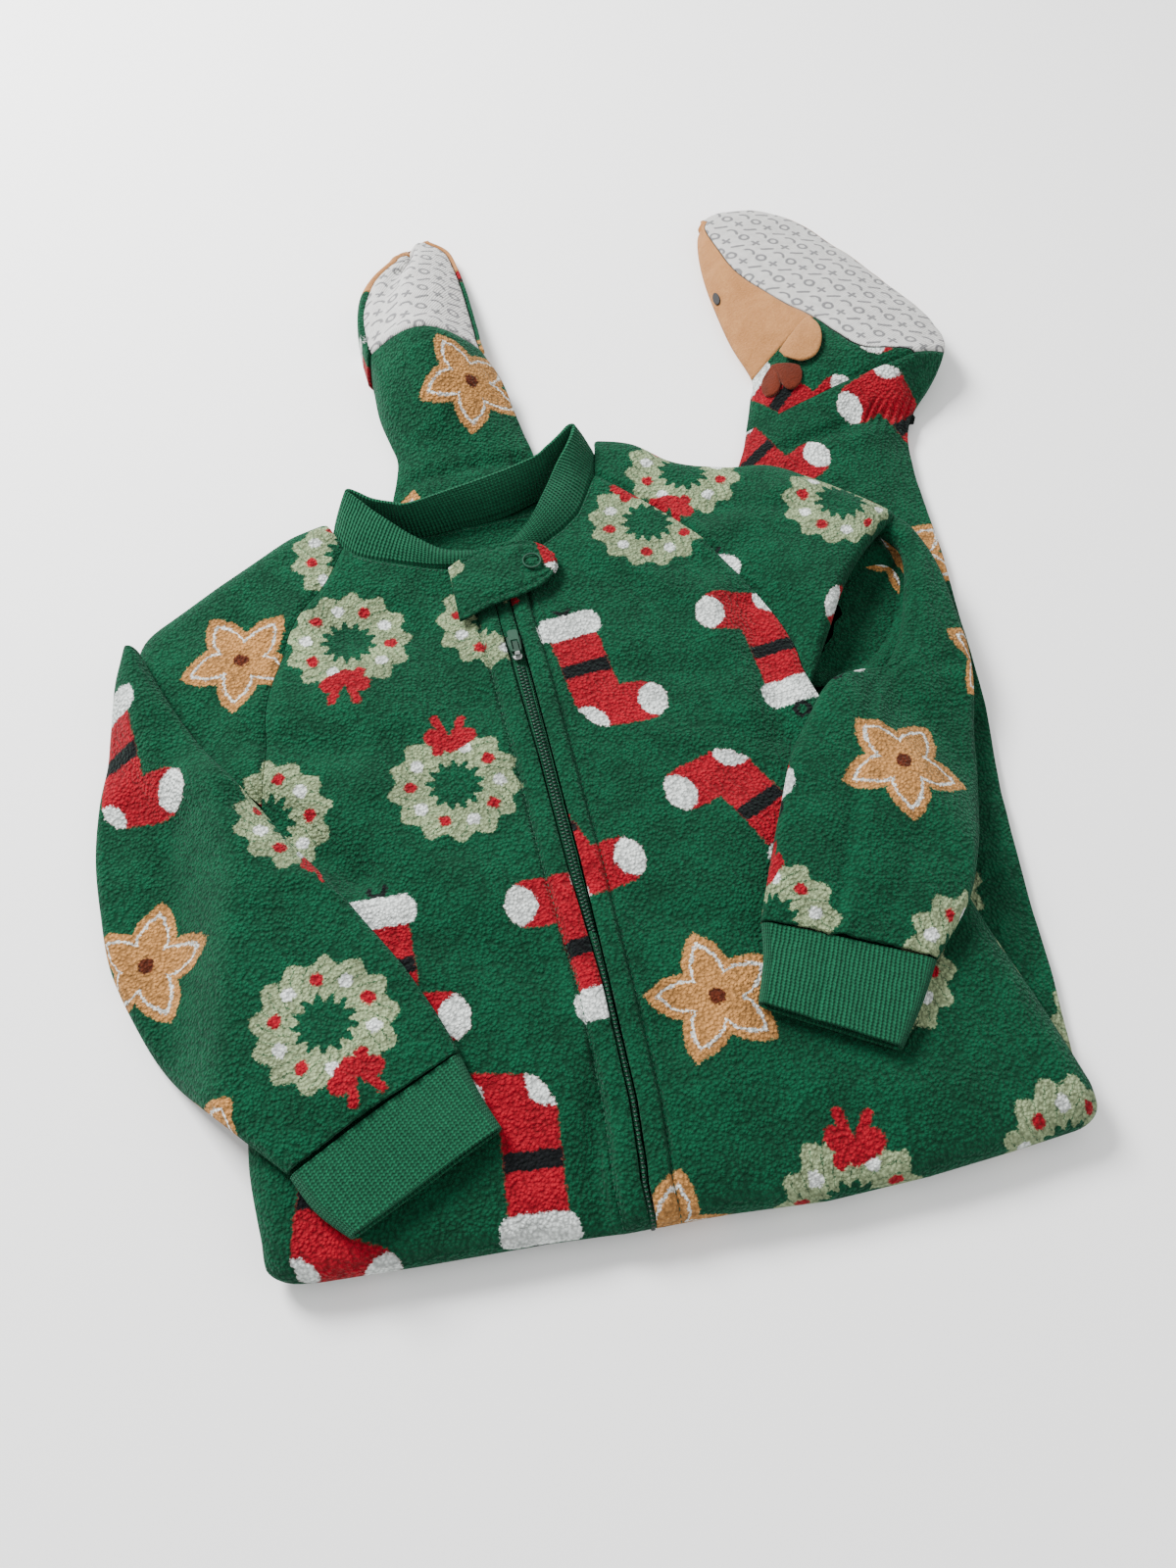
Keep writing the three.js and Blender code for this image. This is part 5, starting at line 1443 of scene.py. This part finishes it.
class PAJAMA_OT_zip(bpy.types.Operator):
    """Zip tape with its coil, the fleece strip above the slider, the slider and the pull"""
    bl_idname = "pajama.zip"
    bl_label = "Zip"

    def execute(self, context):
        tape_rows = np.concatenate([steps(ZIP_LENGTH, 3)[:-1], 1 + np.arange(14) / 13 * FOLD_END])
        tape = shell("zip_tape", zip_skin, tape_rows, np.linspace(0, 1, 9), 1.5)
        dress(tape, "tape")
        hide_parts("zip_coil")
        wide = np.linspace(0.05, ZIP_WIDE, 300)
        narrow = np.linspace(ZIP_WIDE, 1.42, 300)
        half = zip_half(mix(ZIP_TOP, -165.0, wide))
        rows = [stitch_line(zip_skin, wide + nudge, 0.5 + way * 1.05 / (2 * half), TOOTH_PITCH)
                for way, nudge in ((-1, 0), (1, 0.0038))]
        teeth = scatter("zip_teeth", template(8, 5, (1.1, 2.4, 1.5)), *join_places(*rows))
        dress(teeth, "coil")
        low = stitch_line(zip_skin, narrow, np.full(300, 0.5), TOOTH_PITCH)
        deep_teeth = scatter("zip_teeth_low", template(8, 5, (1.1, 1.9, 1.3)), *low, lift=-0.2)
        dress(deep_teeth, "coil")

        def guard_skin(s, t):
            y = mix(SLIDER_FRONT + 0.5, 139, s)
            x = zip_x(y) + (2 * t - 1) * 3.7
            z = 22.1 + 0.9 * np.sin(math.pi * np.clip(t, 0, 1)) + 0.3 * value_noise(x, y, 6, 31)
            return np.stack([x, y, z, 0 * x, 0 * x], -1)

        guard = shell("zip_guard_cloth", guard_skin, steps(47, 1.5), np.linspace(0, 1, 9), 1.9,
                      shift=(14, 34))
        dress(guard, "fleece")
        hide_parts("zip_guard")
        cut_cloth(guard, 10, 48, rests_on=["hidden_layers"])
        give(frame["nodes"]["zip_slider"], "slider")
        give(frame["nodes"]["zip_pull"], "plastic")
        return {"FINISHED"}


# Snap tab
TAB = table("x low high top", [
    [-41.4, 103.6, 138.6, 26.6], [-35, 104.8, 141.5, 28.2], [-27, 107.2, 143.8, 29.2],
    [-18, 109.2, 145.6, 29.7], [-9, 110.8, 146.4, 29.7], [-1, 113.4, 145.6, 29.5],
    [5, 116.6, 143.2, 29.3], [9.6, 120.6, 139.4, 29.1], [12.4, 126, 133.8, 29],
])
TAB_LENGTH = 54
TAB_WIDTH = 34
TAB_EDGE = 3.2           # how far in from the tab's outline its edge stitching runs


def tab_skin(s, t):
    row = along(TAB, s)
    y = mix(row.low, row.high, t)
    length = row.high - row.low
    from_edge = np.minimum(np.minimum(t, 1 - t) * length, (1 - s) * TAB_LENGTH)
    pressed = 0.9 * bell(from_edge - TAB_EDGE, 0.9)
    edge = 1.1 * (1 - np.sqrt(np.clip(1 - (1 - np.clip(from_edge / 1.8, 0, 1)) ** 2, 0, 1)))
    dent = 0.9 * bell(np.hypot(row.x - SNAP[0], y - SNAP[1]) - 6.5, 3.0)
    z = row.top + 0.9 * np.sin(math.pi * np.clip(t, 0, 1)) - 0.7 - pressed - edge - dent
    x = row.x + 0 * t
    return np.stack([x, y, z + 0.25 * value_noise(x, y, 8, 41), 0 * x, 0 * x], -1)


class PAJAMA_OT_tab(bpy.types.Operator):
    """Snap tab over the zip's top, with its edge stitching and ring snap"""
    bl_idname = "pajama.tab"
    bl_label = "Snap tab"

    def execute(self, context):
        tab = shell("snap_tab_cloth", tab_skin, steps(TAB_LENGTH, 1.3), steps(TAB_WIDTH, 1.3), 2.7,
                    shift=(58, -12))
        dress(tab, "fleece")
        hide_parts("snap_tab")
        cut_cloth(tab, TAB_LENGTH, 36, rests_on=["front_left_cloth"])
        share = TAB_EDGE / TAB_WIDTH
        last = 1 - TAB_EDGE / TAB_LENGTH
        line_s = np.concatenate([np.linspace(0.02, last, 60), np.full(20, last), np.linspace(last, 0.02, 60)])
        line_t = np.concatenate([np.full(60, share), np.linspace(share, 1 - share, 20), np.full(60, 1 - share)])
        stitches = stitch_line(tab_skin, line_s, line_t, 2.6)
        thread = scatter("tab_stitch", template(6, 4, (1.9, 0.5, 0.45)), *stitches)
        dress(thread, "thread")
        give(frame["nodes"]["snap_ring"], "plastic")
        return {"FINISHED"}


# Camera, fitted to the photo: its place in the plan, the way it looks in degrees, and its focal length
CAMERA_PLACE = (-68.4, -296.5, 549)
CAMERA_AZIMUTH = -13
CAMERA_ELEVATION = 60
FOCAL_PIXELS = 1333
PHOTO_HEIGHT = 1600


class PAJAMA_OT_stage(bpy.types.Operator):
    """Pale floor, soft lights, world and the camera at the photo's angle"""
    bl_idname = "pajama.stage"
    bl_label = "Stage"

    def execute(self, context):
        stage = context.scene.pajama_stage
        bpy.ops.object.select_all(action="DESELECT")
        bpy.ops.mesh.primitive_plane_add(size=12, location=(0, 0, -0.0002))
        floor = context.active_object
        floor.name = "floor"
        paint = Paint("floor_paint", 0.9, specular=0.1)
        paint.surface.inputs["Base Color"].default_value = (*stage.floor_colour, 1)
        floor.data.materials.append(paint.material)
        world = bpy.data.worlds.new("soft_room")
        context.scene.world = world
        world.use_nodes = True
        world.node_tree.nodes["Background"].inputs[0].default_value = (1, 1, 1, 1)
        world.node_tree.nodes["Background"].inputs[1].default_value = 0.95
        for name, place, size, power in (
            ("key", (-0.75, 0.95, 1.15), 0.6, stage.key_power),
            ("fill", (1.3, -0.7, 1.2), 1.2, stage.fill_power),
        ):
            bpy.ops.object.light_add(type="AREA", location=place)
            light = context.active_object
            light.name = name
            light.data.energy = power
            light.data.size = size
            light.rotation_euler = (Vector((0, 0, 0)) - Vector(place)).to_track_quat("-Z", "Y").to_euler()
        camera_data = bpy.data.cameras.new("camera")
        camera_data.sensor_fit = "AUTO"
        camera_data.sensor_width = 36
        camera_data.lens = FOCAL_PIXELS * camera_data.sensor_width / PHOTO_HEIGHT
        camera = bpy.data.objects.new("camera", camera_data)
        context.scene.collection.objects.link(camera)
        azimuth, elevation = math.radians(CAMERA_AZIMUTH), math.radians(CAMERA_ELEVATION)
        level = Vector((math.sin(azimuth), -math.cos(azimuth), 0))
        back = level * math.cos(elevation) + Vector((0, 0, math.sin(elevation)))
        right = Vector((math.cos(azimuth), math.sin(azimuth), 0))
        turned = Matrix((right, back.cross(right), back)).transposed().to_4x4()
        eye = (np.array(CAMERA_PLACE) - SHIFT) / 1000
        camera.matrix_world = Matrix.Translation(Vector(eye)) @ turned
        context.scene.camera = camera
        return {"FINISHED"}


OPERATORS = (
    PAJAMA_OT_fronts, PAJAMA_OT_sleeves, PAJAMA_OT_neck, PAJAMA_OT_legs, PAJAMA_OT_trims, PAJAMA_OT_zip,
    PAJAMA_OT_tab, PAJAMA_OT_stage,
)


class PAJAMA_PT_panel(bpy.types.Panel):
    bl_idname = "PAJAMA_PT_panel"
    bl_label = "Folded pajama"
    bl_space_type = "VIEW_3D"
    bl_region_type = "UI"
    bl_category = "Pajama"

    def draw(self, context):
        for group in (context.scene.pajama_cloth, context.scene.pajama_stage):
            for name in group.bl_rna.properties.keys():
                if name not in ("rna_type", "name"):
                    self.layout.prop(group, name)
        for operator in OPERATORS:
            self.layout.operator(operator.bl_idname)


CLASSES = (ClothSettings, StageSettings, *OPERATORS, PAJAMA_PT_panel)


def register():
    for item in CLASSES:
        bpy.utils.register_class(item)
    bpy.types.Scene.pajama_cloth = bpy.props.PointerProperty(type=ClothSettings)
    bpy.types.Scene.pajama_stage = bpy.props.PointerProperty(type=StageSettings)


def unregister():
    del bpy.types.Scene.pajama_stage
    del bpy.types.Scene.pajama_cloth
    for item in reversed(CLASSES):
        bpy.utils.unregister_class(item)


def main():
    register()
    bpy.ops.pajama.stage()
    bpy.ops.pajama.fronts()
    bpy.ops.pajama.sleeves()
    bpy.ops.pajama.neck()
    bpy.ops.pajama.legs()
    bpy.ops.pajama.trims()
    bpy.ops.pajama.zip()
    bpy.ops.pajama.tab()


if __name__ == "__main__":
    main()
